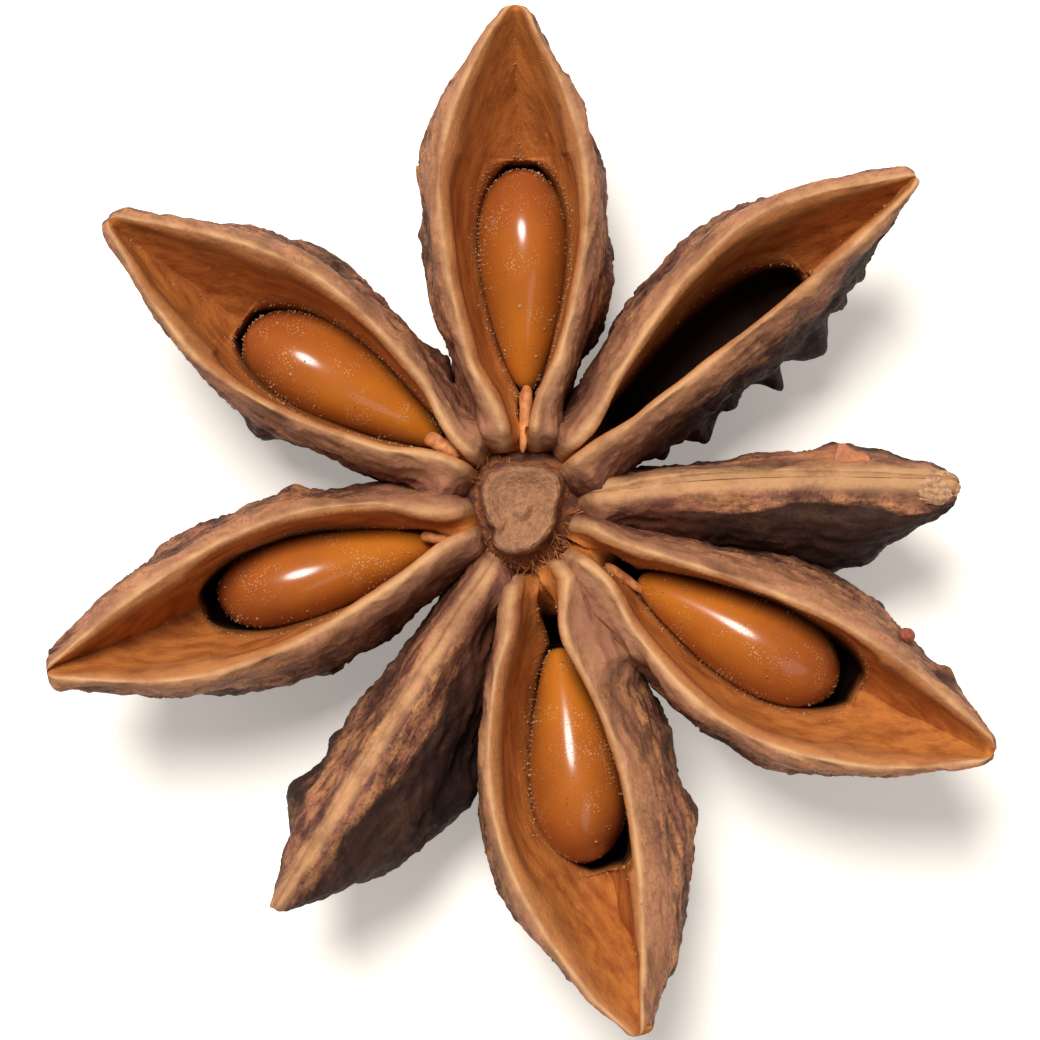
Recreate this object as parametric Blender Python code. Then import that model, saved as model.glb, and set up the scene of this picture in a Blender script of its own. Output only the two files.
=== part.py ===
"""A star anise pod: eight woody carpels fused round a central column, and the five seeds it still holds.

The pod lies with its open side up, and its longest carpels point along Y. Named sizes are in
millimetres and degrees. The model itself is in metres, with +Z up and its origin in the middle of
its footprint, on the surface that it rests on.
"""

import math

import bmesh
import bpy
from mathutils import Matrix, Vector, noise

MM = 0.001

# Heights above the surface that the pod rests on
LIP_HEIGHT = 9.0  # the lips of a carpel half-way along it
LIP_RISE = 1.4  # how much higher the lips are at the beak than at the column
KEEL_LOW = -0.15  # the keel's lowest line, before the surface presses it flat
KEEL_ROOT = 1.4  # the keel where it meets the column
KEEL_FLAT_START, KEEL_FLAT_END = 0.3, 0.42  # shares of the carpel's length
BEAK_THICKNESS = 1.1
CLIMB = 1.8  # how late the keel turns up towards the beak

# The wall of a carpel
LIP_WIDTH = 0.42  # the pale edge of the wall
FLANK_ROOT, FLANK_TIP = 0.45, 0.13  # shares of the flank's half width, at the column and the beak
LIP_ROOT, LIP_TIP = 0.25, 0.04  # the same for the gap between the lips
FULLEST = 0.58  # where a carpel is widest, as a share of its length
LOW_SIDE, LOW_RISE = 0.74, 0.22  # a flank's low corner, as shares of its half width and its height
BULGE_RISE = 0.55  # the height at which a flank is widest
HIGH_SIDE, HIGH_RISE = 0.35, 0.86  # a flank's high corner: how far it still bulges, and its height
LIP_ROUNDING = 0.1  # how much lower a lip's outer edge is than its crest
LIP_SHARE = 0.3  # the most of a carpel's width that one lip may take
LIP_INSIDE = 0.8  # how much of a lip's width stays within the flank
SHARED_WALL = 0.2  # how far neighbours overlap where they are fused
BUMP_HEIGHT = 0.22
BUMPS_PER_MM = 0.55
BUMP_STEP = 31  # how far apart in the noise two carpels read their bumps

# The hollow of an open carpel, and the seam of one that stayed shut
SHOULDER_DROP = 1.5  # from the lips down to where the smooth inner face meets the seed's pocket
POCKET_HALF_WIDTH = 2.12
POCKET_FLOOR = 1.6
KEEL_WALL = 1.0
THINNEST_WALL = 0.5
NARROWEST_HOLLOW = 0.15  # where the wall leaves no more room, as a share of the flank
POCKET_ROOT, POCKET_FULLEST, POCKET_TIP = 0.3, 0.55, 0.05  # the pocket's width along the carpel
SHALLOW_FLOOR, SHALLOW_SHOULDER = 0.25, 0.1  # below the lips, where the hollow has run out
SHOULDER_SIDE = 0.7  # how much nearer the shoulder is to the pocket than to the lip
FLOOR_SIDE = 0.5  # the floor's half width, as a share of the pocket's
GROOVE_DEPTH = 0.35
GROOVE_SHARE, GROOVE_SHOULDER = 0.2, 0.4  # the seam's half width, and its shoulder's depth, as shares
GROOVE_EDGE = 0.04
SHUT_BELOW = 1.0  # a carpel that gapes less than this stayed shut
ROOT = 1.4  # distance from the column's axis at which a carpel starts
HOLLOW_START, HOLLOW_FULL = 2.4, 5.4
HOLLOW_FADE = 3.6  # length over which the hollow runs out before the beak

# The seeds: flattened drops that stand on edge, narrow end towards the column
SEED_LENGTH = 8.1
SEED_HALF_WIDTH = 1.7
SEED_HALF_HEIGHT = 2.9
SEED_BELOW_LIPS = 1.35
SEED_TAPER = 0.42

# The column: a core with a dished head, and the flat scar of the stalk below it
COLUMN_SIDES = 14
COLUMN_PROFILE = (  # radius, height
    (1.5, 0.0),
    (2.3, 1.3),
    (2.35, 6.3),
    (1.5, 6.9),
    (1.42, 7.95),
    (1.1, 8.05),
    (0.7, 7.75),
    (0.25, 7.9),
    (0.0, 7.95),
)

HEAD_START = 6.5  # the head is above this height
HEAD_LOBES, HEAD_SWING, HEAD_TURN = 5, 0.07, 0.6  # how the head is pressed out of round

# Facets
CARPEL_RINGS = 19
END_CROWDING = 0.4  # how much closer the rings are at both ends of a carpel
MERGE_DISTANCE = 0.00001
SEED_SEGMENTS = 14
SEED_RINGS = 10

# One entry for each carpel, anticlockwise from the one along +X.
# azimuth: its direction. reach: the beak's distance from the column's axis.
# opening: the widest gap between its lips. lean: how far left of its own line that gap's middle is.
# left, right: the half widths of its flanks. side: how far left its lips are at the column.
# lift: how much higher its lips are than the others'.
# share: its part of the angle to the neighbour on its left, where both are squeezed together.
# seed: how far from the column its seed starts, and how far left of the carpel's line it lies.
CARPELS = (
    {"name": "east", "azimuth": 3.1, "reach": 15.7, "opening": 0.5, "lean": 0.75, "left": 1.75,
     "right": 2.75, "side": 0.2, "lift": -0.9, "share": 0.5, "seed": None},
    {"name": "northeast", "azimuth": 40.0, "reach": 18.4, "opening": 2.9, "lean": 1.15, "left": 3.6,
     "right": 2.7, "side": 0.1, "lift": 0.0, "share": 0.5, "seed": None},
    {"name": "north", "azimuth": 91.1, "reach": 18.0, "opening": 5.0, "lean": 0.1, "left": 3.45,
     "right": 3.35, "side": 0.15, "lift": 0.2, "share": 0.5, "seed": (4.3, -0.22)},
    {"name": "northwest", "azimuth": 145.0, "reach": 17.9, "opening": 4.65, "lean": -0.1, "left": 2.8,
     "right": 3.4, "side": -0.3, "lift": 0.0, "share": 0.5, "seed": (3.9, -0.05)},
    {"name": "west", "azimuth": 198.8, "reach": 17.9, "opening": 4.2, "lean": -0.3, "left": 3.1,
     "right": 3.35, "side": -0.35, "lift": 0.1, "share": 0.6, "seed": (3.6, -0.25)},
    {"name": "southwest", "azimuth": 238.0, "reach": 16.9, "opening": 0.5, "lean": 0.05, "left": 3.6,
     "right": 1.3, "side": 0.0, "lift": -0.7, "share": 0.5, "seed": None},
    {"name": "south", "azimuth": 282.1, "reach": 19.2, "opening": 4.6, "lean": -0.8, "left": 3.45,
     "right": 3.9, "side": -0.35, "lift": 0.2, "share": 0.5, "seed": (5.0, -0.2)},
    {"name": "southeast", "azimuth": 332.8, "reach": 18.9, "opening": 4.7, "lean": -0.9, "left": 3.05,
     "right": 3.95, "side": 0.0, "lift": 0.3, "share": 0.57, "seed": (4.9, -0.4)},
)
PLAIN_POCKET_SIDE = -0.1  # sideways place of the pocket in an open carpel that has lost its seed

# Places on the closed outline of a carpel's section. Whole numbers are its seventeen points, from the
# keel round the right flank, over the right lip, through the hollow, and back over the left lip.
# The halves, which lie on the flanks, are read from a smooth curve through those points.
STATIONS = (0, 0.5, 1, 1.5, 2, 2.5, 3, *range(4, 14), 14, 14.5, 15, 15.5, 16, 16.5)
OUTER_STATIONS = (3.5, 13.5)  # the outer face lies before the first and after the second


def smoothstep(low, high, value):
    """Rise smoothly from 0 at low to 1 at high."""
    share = min(max((value - low) / (high - low), 0.0), 1.0)
    return share * share * (3 - 2 * share)


def swell(t, root, fullest, tip):
    """Give the share of a width at t: root at the column, 1 at fullest, tip at the beak."""
    if t < fullest:
        return root + (1 - root) * math.sin(math.pi / 2 * (t / fullest) ** 1.2)
    fall = min((t - fullest) / (1 - fullest), 1.0)
    return tip + (1 - tip) * (1 - fall**1.9) ** 1.2


def along(carpel, x):
    """Give how far x is along the carpel, from 0 at its root to 1 at its beak."""
    return min(max((x - ROOT) / (carpel["reach"] - ROOT), 0.0), 1.0)


def lip_height(carpel, x):
    """Give the height of the carpel's lips at x along its line."""
    return LIP_HEIGHT + carpel["lift"] + LIP_RISE * (along(carpel, x) - 0.5)


def keel_height(carpel, x):
    """Give the height of the keel: from the column down to its low stretch, then up to the beak."""
    t = along(carpel, x)
    low = KEEL_ROOT + (KEEL_LOW - KEEL_ROOT) * smoothstep(0.0, KEEL_FLAT_START, t)
    climb = max(t - KEEL_FLAT_END, 0.0) / (1 - KEEL_FLAT_END)
    return low + (lip_height(carpel, x) - BEAK_THICKNESS - low) * climb**CLIMB


def flank_widths(index, x):
    """Give the left and right half widths, squeezed near the column to the room between neighbours."""
    carpel = CARPELS[index]
    before = CARPELS[index - 1]
    after = CARPELS[(index + 1) % len(CARPELS)]
    left_angle = (after["azimuth"] - carpel["azimuth"]) % 360 * carpel["share"]
    right_angle = (carpel["azimuth"] - before["azimuth"]) % 360 * (1 - before["share"])
    share = swell(along(carpel, x), FLANK_ROOT, FULLEST, FLANK_TIP)
    left = min(carpel["left"] * share, x * math.tan(math.radians(left_angle)) + SHARED_WALL)
    right = min(carpel["right"] * share, x * math.tan(math.radians(right_angle)) + SHARED_WALL)
    return left, right


def flank_points(side, lip, keel_z, lip_z, lip_width):
    """Give one flank's (distance from the middle, height) points, from the keel to the lip's outer edge."""
    height = lip_z - keel_z
    return (
        (0.0, keel_z),
        (LOW_SIDE * side, keel_z + LOW_RISE * height),
        (side, keel_z + BULGE_RISE * height),
        ((1 - HIGH_SIDE) * (lip + lip_width) + HIGH_SIDE * side, keel_z + HIGH_RISE * height),
        (lip + lip_width, lip_z - LIP_ROUNDING),
    )


def inside(flank, distance, z):
    """Keep a point of the hollow at least the thinnest wall inside the flank."""
    for (low, low_z), (high, high_z) in zip(flank, flank[1:]):
        if low_z <= z <= high_z:
            outer = low + (high - low) * (z - low_z) / (high_z - low_z)
            return min(distance, max(outer - THINNEST_WALL, NARROWEST_HOLLOW * outer))
    return distance


def section_points(index, x):
    """Give the seventeen (y, z) points of a carpel's section at x along its line."""
    carpel = CARPELS[index]
    t = along(carpel, x)
    lip_z = lip_height(carpel, x)
    keel_z = keel_height(carpel, x)
    left, right = flank_widths(index, x)

    share = swell(t, LIP_ROOT, FULLEST, LIP_TIP)
    side = carpel["side"] * (1 - smoothstep(0.1, 0.5, t))
    middle = carpel["lean"] * share + side
    half_gap = carpel["opening"] / 2 * share
    lip_width = min(LIP_WIDTH, LIP_SHARE * (left + right))
    left_lip = min(middle + half_gap, left - LIP_INSIDE * lip_width)
    right_lip = max(middle - half_gap, LIP_INSIDE * lip_width - right)
    left_flank = flank_points(left, left_lip, keel_z, lip_z, lip_width)
    right_flank = flank_points(right, -right_lip, keel_z, lip_z, lip_width)

    hollow = smoothstep(HOLLOW_START, HOLLOW_FULL, x)
    hollow *= 1 - smoothstep(carpel["reach"] - HOLLOW_FADE, carpel["reach"] + 0.4, x)
    if carpel["opening"] < SHUT_BELOW:
        centre = (left_lip + right_lip) / 2
        pocket = (left_lip - right_lip) * GROOVE_SHARE
        floor_z = lip_z - SHALLOW_SHOULDER - GROOVE_DEPTH * hollow
        shoulder_z = lip_z - GROOVE_EDGE - GROOVE_DEPTH * GROOVE_SHOULDER * hollow
    else:
        seed_side = carpel["seed"][1] if carpel["seed"] else PLAIN_POCKET_SIDE
        centre = seed_side * share + side
        pocket = POCKET_HALF_WIDTH * swell(t, POCKET_ROOT, POCKET_FULLEST, POCKET_TIP)
        shallow_z = lip_z - SHALLOW_FLOOR
        floor_z = shallow_z - (shallow_z - max(POCKET_FLOOR, keel_z + KEEL_WALL)) * hollow
        shoulder_z = lip_z - SHALLOW_SHOULDER - (SHOULDER_DROP - SHALLOW_SHOULDER) * hollow
    pocket_z = (floor_z + shoulder_z) / 2
    if carpel["opening"] < SHUT_BELOW:
        pocket_left, pocket_right = centre + pocket, centre - pocket
        shoulder_left, shoulder_right = centre + 1.6 * pocket, centre - 1.6 * pocket
        floor_left, floor_right = centre + FLOOR_SIDE * pocket, centre - FLOOR_SIDE * pocket
    else:
        pocket_left = inside(left_flank, centre + pocket, pocket_z)
        pocket_right = -inside(right_flank, pocket - centre, pocket_z)
        shoulder = SHOULDER_SIDE * pocket_left + (1 - SHOULDER_SIDE) * left_lip
        shoulder_left = inside(left_flank, shoulder, shoulder_z)
        shoulder = SHOULDER_SIDE * pocket_right + (1 - SHOULDER_SIDE) * right_lip
        shoulder_right = -inside(right_flank, -shoulder, shoulder_z)
        floor_left = inside(left_flank, centre + FLOOR_SIDE * pocket, floor_z)
        floor_right = -inside(right_flank, FLOOR_SIDE * pocket - centre, floor_z)

    right_outer = [(-distance, z) for distance, z in right_flank]
    right_outer[0] = (0.1 * (left - right), keel_z)
    return (
        *right_outer,
        (right_lip, lip_z),
        (shoulder_right, shoulder_z),
        (pocket_right, pocket_z),
        (floor_right, floor_z),
        (floor_left, floor_z),
        (pocket_left, pocket_z),
        (shoulder_left, shoulder_z),
        (left_lip, lip_z),
        *reversed(left_flank[1:]),
    )


def read_outline(points, station):
    """Give the point at a station, on a smooth closed curve through the points."""
    whole = int(station)
    count = len(points)
    if station == whole:
        return Vector(points[whole])
    before, start, end, after = (Vector(points[(whole + step) % count]) for step in (-1, 0, 1, 2))
    return (9 * (start + end) - before - after) / 16


def new_material(name, color, roughness):
    """Make a plain material of one colour."""
    material = bpy.data.materials.new(name)
    material.use_nodes = True
    shader = material.node_tree.nodes["Principled BSDF"]
    shader.inputs["Base Color"].default_value = (*color, 1.0)
    shader.inputs["Roughness"].default_value = roughness
    shader.inputs["Metallic"].default_value = 0.0
    material.diffuse_color = (*color, 1.0)
    return material


def add_object(name, bm, material, collection, parent):
    """Turn the finished bmesh into an object of triangles, which join cleanly, smooth and facing out."""
    bmesh.ops.triangulate(bm, faces=bm.faces)
    bmesh.ops.recalc_face_normals(bm, faces=bm.faces)
    if bm.calc_volume(signed=True) < 0:
        bmesh.ops.reverse_faces(bm, faces=bm.faces)
    mesh = bpy.data.meshes.new(name)
    bm.to_mesh(mesh)
    bm.free()
    mesh.shade_smooth()
    mesh.set_sharp_from_angle(angle=math.radians(50))
    mesh.materials.append(material)
    piece = bpy.data.objects.new(name, mesh)
    collection.objects.link(piece)
    piece.parent = parent
    return piece


def carpel_frame(carpel):
    """Give the turn that lays a carpel's own line along its azimuth, and takes millimetres to metres."""
    return Matrix.Rotation(math.radians(carpel["azimuth"]), 4, "Z") @ Matrix.Scale(MM, 4)


def ring_share(vertex):
    """Give how far along its axis a unit sphere's vertex lies, with its rings closer at both ends."""
    polar = math.acos(min(max(vertex.co.z, -1.0), 1.0)) / math.pi
    crowded = (1 - math.cos(math.pi * polar)) / 2
    return (1 - END_CROWDING) * polar + END_CROWDING * crowded


def make_carpel(index):
    """Fold a sphere into a boat: its meridians become the outline of the carpel's section."""
    carpel = CARPELS[index]
    length = carpel["reach"] - ROOT
    bm = bmesh.new()
    bmesh.ops.create_uvsphere(bm, u_segments=len(STATIONS), v_segments=CARPEL_RINGS, radius=1.0)
    for vertex in bm.verts:
        share = ring_share(vertex)
        x = ROOT + length * share
        points = section_points(index, x)
        if share in (0.0, 1.0):
            vertex.co = (x, 0.0, (points[0][1] + points[4][1]) / 2)
            continue
        turn = math.atan2(vertex.co.y, vertex.co.x) / math.tau % 1.0
        station = STATIONS[round(turn * len(STATIONS)) % len(STATIONS)]
        y, z = read_outline(points, station)
        if station < OUTER_STATIONS[0] or station > OUTER_STATIONS[1]:
            middle_z = (points[0][1] + points[4][1]) / 2
            outward = Vector((y, z - middle_z)).normalized()
            bump = noise.noise(Vector((x + BUMP_STEP * index, y, z)) * BUMPS_PER_MM) * BUMP_HEIGHT
            bump *= smoothstep(0.0, 0.3, share)
            y += outward.x * bump
            z += outward.y * bump
        vertex.co = (x, y, max(z, 0.0))
    bm.transform(carpel_frame(carpel))
    return bm


def make_column():
    """Turn the column's profile, and press its head a little out of round."""
    bm = bmesh.new()
    verts = [bm.verts.new((radius * MM, 0.0, height * MM)) for radius, height in COLUMN_PROFILE]
    edges = [bm.edges.new(pair) for pair in zip(verts, verts[1:])]
    bmesh.ops.spin(bm, geom=verts + edges, angle=math.tau, steps=COLUMN_SIDES, axis=(0, 0, 1), cent=(0, 0, 0))
    bmesh.ops.remove_doubles(bm, verts=bm.verts, dist=MERGE_DISTANCE)
    bottom = [edge for edge in bm.edges if edge.is_boundary]
    bmesh.ops.contextual_create(bm, geom=bottom)
    for vertex in bm.verts:
        turn = math.atan2(vertex.co.y, vertex.co.x)
        if vertex.co.z > HEAD_START * MM:
            spread = 1 + HEAD_SWING * math.cos(HEAD_LOBES * turn + HEAD_TURN)
            vertex.co.x *= spread
            vertex.co.y *= spread
    return bm


def drop(share):
    """Give the width of a drop at a share of its length, before it is scaled to be 1 at its fullest."""
    place = 2 * share - 1
    return math.sqrt(max(1 - place**2, 0.0)) * (1 + SEED_TAPER * place)


def seed_place(carpel, share):
    """Give the middle, half width and half height of a seed's section at a share of its length."""
    start, side = carpel["seed"]
    fullest = max(drop(step / 50) for step in range(51))
    fullness = drop(share) / fullest
    x = start + SEED_LENGTH * share
    sunk = fullness + (1 - fullness) * smoothstep(0.5, 1.0, share)  # the round end hangs lower
    top = lip_height(carpel, x) - SEED_BELOW_LIPS
    middle = Vector((x, side, top - SEED_HALF_HEIGHT * sunk))
    return middle, SEED_HALF_WIDTH * fullness, SEED_HALF_HEIGHT * fullness


def make_seed(carpel):
    """Press a sphere into a flattened drop that follows the slope of the carpel's lips."""
    bm = bmesh.new()
    bmesh.ops.create_uvsphere(bm, u_segments=SEED_SEGMENTS, v_segments=SEED_RINGS, radius=1.0)
    for vertex in bm.verts:
        share = (1 - vertex.co.z) / 2
        turn = math.atan2(vertex.co.y, vertex.co.x)
        middle, half_width, half_height = seed_place(carpel, share)
        vertex.co = middle + Vector((0.0, half_width * math.cos(turn), half_height * math.sin(turn)))
    bm.transform(carpel_frame(carpel))
    return bm


def rest_on_ground(parent, pieces):
    """Shift the whole pod so that the middle of its footprint is at the origin."""
    bpy.context.view_layer.update()
    corners = [piece.matrix_world @ vertex.co for piece in pieces for vertex in piece.data.vertices]
    middle_x = (min(corner.x for corner in corners) + max(corner.x for corner in corners)) / 2
    middle_y = (min(corner.y for corner in corners) + max(corner.y for corner in corners)) / 2
    parent.location = (-middle_x, -middle_y, 0.0)


def main():
    """Build the pod."""
    for old in list(bpy.data.objects):
        bpy.data.objects.remove(old, do_unlink=True)
    pod = bpy.data.collections.new("star_anise_pod")
    joined = bpy.data.collections.new("joined_into_husk")
    for collection in (pod, joined):
        bpy.context.scene.collection.children.link(collection)
    axis = bpy.data.objects.new("column_axis", None)
    pod.objects.link(axis)

    bark = new_material("husk_bark", (0.24, 0.105, 0.05), 0.7)
    coat = new_material("seed_coat", (0.42, 0.1, 0.02), 0.22)

    husk = add_object("husk", make_column(), bark, pod, axis)
    carpels = []
    for index, carpel in enumerate(CARPELS):
        shell = add_object(f"carpel_{carpel['name']}", make_carpel(index), bark, joined, axis)
        shell.hide_render = True
        shell.display_type = "WIRE"
        carpels.append(shell)
        union = husk.modifiers.new(f"join_{carpel['name']}", "BOOLEAN")
        union.operation = "UNION"
        union.solver = "EXACT"
        union.object = shell
    for carpel in CARPELS:
        if carpel["seed"]:
            add_object(f"seed_{carpel['name']}", make_seed(carpel), coat, pod, axis)
    rest_on_ground(axis, carpels)


main()
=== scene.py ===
# %% Load the pod
import math

import bpy
import numpy as np
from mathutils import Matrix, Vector, noise


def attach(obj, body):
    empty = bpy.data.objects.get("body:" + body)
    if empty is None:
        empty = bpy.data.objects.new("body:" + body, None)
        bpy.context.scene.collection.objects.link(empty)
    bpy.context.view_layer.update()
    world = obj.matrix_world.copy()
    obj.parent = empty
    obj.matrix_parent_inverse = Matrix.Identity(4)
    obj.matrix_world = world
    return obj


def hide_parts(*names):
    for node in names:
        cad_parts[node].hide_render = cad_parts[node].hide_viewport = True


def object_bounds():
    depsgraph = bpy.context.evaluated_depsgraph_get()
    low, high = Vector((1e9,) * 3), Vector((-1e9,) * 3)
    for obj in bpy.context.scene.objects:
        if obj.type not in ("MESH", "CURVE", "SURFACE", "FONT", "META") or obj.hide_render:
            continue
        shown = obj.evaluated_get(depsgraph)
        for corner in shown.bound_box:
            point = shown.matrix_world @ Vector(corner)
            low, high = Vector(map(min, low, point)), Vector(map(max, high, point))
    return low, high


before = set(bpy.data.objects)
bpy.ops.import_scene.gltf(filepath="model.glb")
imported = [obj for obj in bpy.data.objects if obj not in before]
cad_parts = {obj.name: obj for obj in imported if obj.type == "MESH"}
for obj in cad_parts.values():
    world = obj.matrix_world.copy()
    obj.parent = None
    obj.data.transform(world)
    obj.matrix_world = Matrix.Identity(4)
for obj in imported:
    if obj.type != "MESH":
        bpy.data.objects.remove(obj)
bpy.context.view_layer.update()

# %% [markdown]
# # A star anise pod
# A star anise is a ring of eight woody boats, the carpels, that grew from one flower and stayed fused
# round a short column. As the ring dries, each boat splits along its upper seam and shows its one
# glossy seed. This lesson dresses the plain model: every carpel is made again with its thin lips,
# its smooth hollow and its wrinkled bark, and then come the seeds, their stalks and the dust.
# All sizes are in millimetres until a mesh is filled, when they become metres.

# %% Small helpers for soft steps and for grain
MM = 0.001  # one millimetre in metres
AXIS = Vector((0.07, 0.39, 0.0))  # where the column stands, in mm


def smoothstep(low, high, value):
    """Rise smoothly from 0 at low to 1 at high."""
    share = np.clip((value - low) / (high - low), 0.0, 1.0)
    return share * share * (3 - 2 * share)


def swell(t, root, fullest, tip):
    """Give a boat's width at t: root at the column, 1 where it is fullest, tip at the beak."""
    rise = root + (1 - root) * np.sin(math.pi / 2 * np.clip(t / fullest, 0, 1) ** 1.2)
    fall = np.clip((t - fullest) / (1 - fullest), 0, 1)
    return np.where(t < fullest, rise, tip + (1 - tip) * (1 - fall**1.9) ** 1.2)


def grain(places, size, seed):
    """Read smooth noise between about -1 and 1 at many places; size is its coarseness along each axis."""
    scaled = places / np.asarray(size) + (seed * 17.3, seed * -9.1, seed * 5.7)
    return np.array([noise.noise(place) for place in scaled.tolist()])


print("a boat is", swell(np.array(0.0), 0.3, 0.6, 0.1), "of its width at the column")

# %% [markdown]
# ## The eight boats, measured one by one
# No two carpels of a pod are alike. Each has its own direction, its own length and its own way of
# gaping, and some never opened. The edge lines are given as (greatest distance from the carpel's
# own line, share at the column, where it is greatest, share at the beak). A lip's end is where its
# rounded finger stops beside the column, as (distance outward, distance to the left).
#
# Azimuth is a carpel's direction in degrees, and reach is how far its beak is from the column's axis.
# Lift raises its lips, and share is how much of the gap to the next carpel it takes. A shut carpel
# has no pocket. It has a groove, a roof (how high its shoulders are, as a share of the way up to the
# lips) and a seam (how far from its middle the pale strip starts to fade, and where it has gone). A
# pocket runs from its start to its end, and behind a seed it can lean to one side. Crease is where
# the fold of the beak meets the pocket.

# %% The table of carpels
CARPELS = (
    {"name": "east", "azimuth": 3.1, "reach": 15.7, "lift": -0.9, "shut": True, "share": 0.5,
     "left_lip": (0.88, 0.65, 0.40, 0.35), "right_lip": (-0.56, 0.6, 0.40, 0.35),
     "groove": 0.02, "roof": 0.90, "seam": (0.28, 0.62),
     "left_flank": (1.50, 0.72, 0.71, 0.24), "right_flank": (2.76, 0.3, 0.59, 0.25),
     "left_end": (2.2, 0.62), "right_end": (2.2, 0.35), "pocket": None},
    {"name": "northeast", "azimuth": 40.0, "reach": 18.4, "lift": 0.0, "shut": False, "share": 0.5,
     "left_lip": (2.64, -0.02, 0.62, 0.05), "right_lip": (0.29, -0.57, 0.72, 0.23),
     "left_flank": (3.58, 0.29, 0.55, 0.16), "right_flank": (1.85, 0.60, 0.58, 0.10),
     "left_end": (2.52, 0.68), "right_end": (2.15, 0.07),
     "pocket": {"start": (3.6, 0.1), "end": (13.4, -0.1), "width": 3.35, "seed": False}},
    {"name": "north", "azimuth": 91.1, "reach": 18.0, "lift": 0.2, "shut": False, "share": 0.5,
     "left_lip": (2.61, 0.27, 0.61, 0.10), "right_lip": (2.42, 0.04, 0.59, 0.14),
     "left_flank": (3.41, 0.38, 0.62, 0.09), "right_flank": (3.32, 0.25, 0.50, 0.18),
     "left_end": (2.40, 0.63), "right_end": (2.45, -0.55),
     "pocket": {"start": (4.35, -0.26), "end": (12.4, -0.21), "width": 3.39, "seed": True}},
    {"name": "northwest", "azimuth": 145.0, "reach": 18.0, "lift": 0.0, "shut": False, "share": 0.5,
     "left_lip": (2.18, -0.13, 0.60, 0.04), "right_lip": (2.48, 0.14, 0.54, 0.07),
     "left_flank": (2.80, 0.37, 0.49, 0.19), "right_flank": (3.41, 0.38, 0.53, 0.15),
     "left_end": (2.28, 0.02), "right_end": (2.40, -0.64),
     "pocket": {"start": (3.89, -0.33), "end": (11.95, 0.29), "width": 3.46, "seed": True}},
    {"name": "west", "azimuth": 198.8, "reach": 17.9, "lift": 0.1, "shut": False, "share": 0.6,
     "left_lip": (1.92, -0.04, 0.60, 0.08), "right_lip": (2.41, 0.28, 0.43, 0.03),
     "left_flank": (3.13, 0.37, 0.48, 0.23), "right_flank": (3.20, 0.45, 0.49, 0.20),
     "left_end": (1.77, 0.28), "right_end": (1.77, -0.71),
     "pocket": {"start": (3.3, 0.03), "end": (11.5, -0.38), "width": 3.29, "seed": True}},
    {"name": "southwest", "azimuth": 238.0, "reach": 16.8, "lift": -0.7, "shut": True, "share": 0.5,
     "left_lip": (0.20, 0.5, 0.62, 0.3), "right_lip": (0.06, 0.5, 0.62, 0.3),
     "groove": 0.02, "roof": 0.77, "seam": (0.10, 0.42),
     "left_flank": (3.50, 0.35, 0.62, 0.10), "right_flank": (1.15, 0.53, 0.66, 0.12),
     "left_end": (2.0, 0.3), "right_end": (2.0, -0.05), "pocket": None},
    {"name": "south", "azimuth": 282.1, "reach": 19.2, "lift": 0.2, "shut": False, "share": 0.5,
     "left_lip": (1.48, -0.40, 0.50, 0.14), "right_lip": (3.13, 0.19, 0.52, 0.10),
     "left_flank": (3.58, 0.42, 0.57, 0.17), "right_flank": (3.76, 0.37, 0.59, 0.05),
     "left_end": (2.3, 1.15), "right_end": (2.60, -1.14),
     "pocket": {"start": (5.16, 0.20), "end": (13.05, -0.32), "width": 3.5, "seed": True, "side": 0.6,
                "crease": 0.65}},
    {"name": "southeast", "azimuth": 332.8, "reach": 18.9, "lift": 0.3, "shut": False, "share": 0.57,
     "left_lip": (1.48, 0.0, 0.58, 0.19), "right_lip": (3.34, -0.01, 0.53, 0.18),
     "left_flank": (3.05, 0.35, 0.51, 0.14), "right_flank": (4.00, 0.54, 0.56, 0.11),
     "left_end": (2.10, 0.60), "right_end": (2.4, -0.70),
     "pocket": {"start": (4.89, -0.29), "end": (13.1, -0.48), "width": 3.5, "seed": True, "side": 0.3,
                "crease": -0.15}},
)
# How much longer than its seed a pocket is, in mm.
END_ROOM = {"north": 0.35, "northwest": 0.35, "west": 0.75, "south": 0.45, "southeast": 0.8, "northeast": 0.0}
ROOT = 1.4  # where a carpel starts, inside the column
LIP_HEIGHT, LIP_RISE = 9.0, 1.4  # of the lips at half way, and from the column to the beak
LIP_WIDTH, LIP_END_EXTRA, LIP_BEAK_LESS = 0.34, 0.22, 0.12  # along a carpel, by the column, at the beak
LIP_END_DROP = 3.6  # how far a lip's rounded end falls beside the column
KEEL_LOW, KEEL_ROOT, BEAK_THICKNESS = -0.15, 1.4, 1.1  # heights of the keel, and the beak's thickness
print(len(CARPELS), "carpels,", sum(not carpel["shut"] for carpel in CARPELS), "of them open")

# %% [markdown]
# ## The section of a boat
# Cut a carpel across and you see a horseshoe: keel, flank, a thin rounded lip, then the smooth inner
# face that falls to the seed's pocket, and back up the other side. It could be drawn with a curve
# for each cut and lofted. Here one function gives the twenty-five corner points of the cut
# at every distance from the column, so that the lips, the pocket and the flanks can each follow
# their own measured line.

# %% Heights and widths along a carpel
SEED_TAPER = 0.42  # how much slimmer a seed is towards its narrow end
DROP_WIDEST = 1.0745  # what the drop's formula gives at its widest place


def drop(share):
    """Give the width of a drop, from its narrow end at 0 to its round end at 1."""
    place = np.clip(2 * share - 1, -1.0, 1.0)
    round_end = 0.5 - 0.1 * smoothstep(0.0, -1.0, place)
    return (1 - place**2) ** round_end * (1 + SEED_TAPER * place) / DROP_WIDEST


def along(carpel, x):
    """Give the place x of a carpel as a share, from its root at 0 to its beak at 1."""
    return np.clip((x - ROOT) / (carpel["reach"] - ROOT), 0.0, 1.0)


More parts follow.
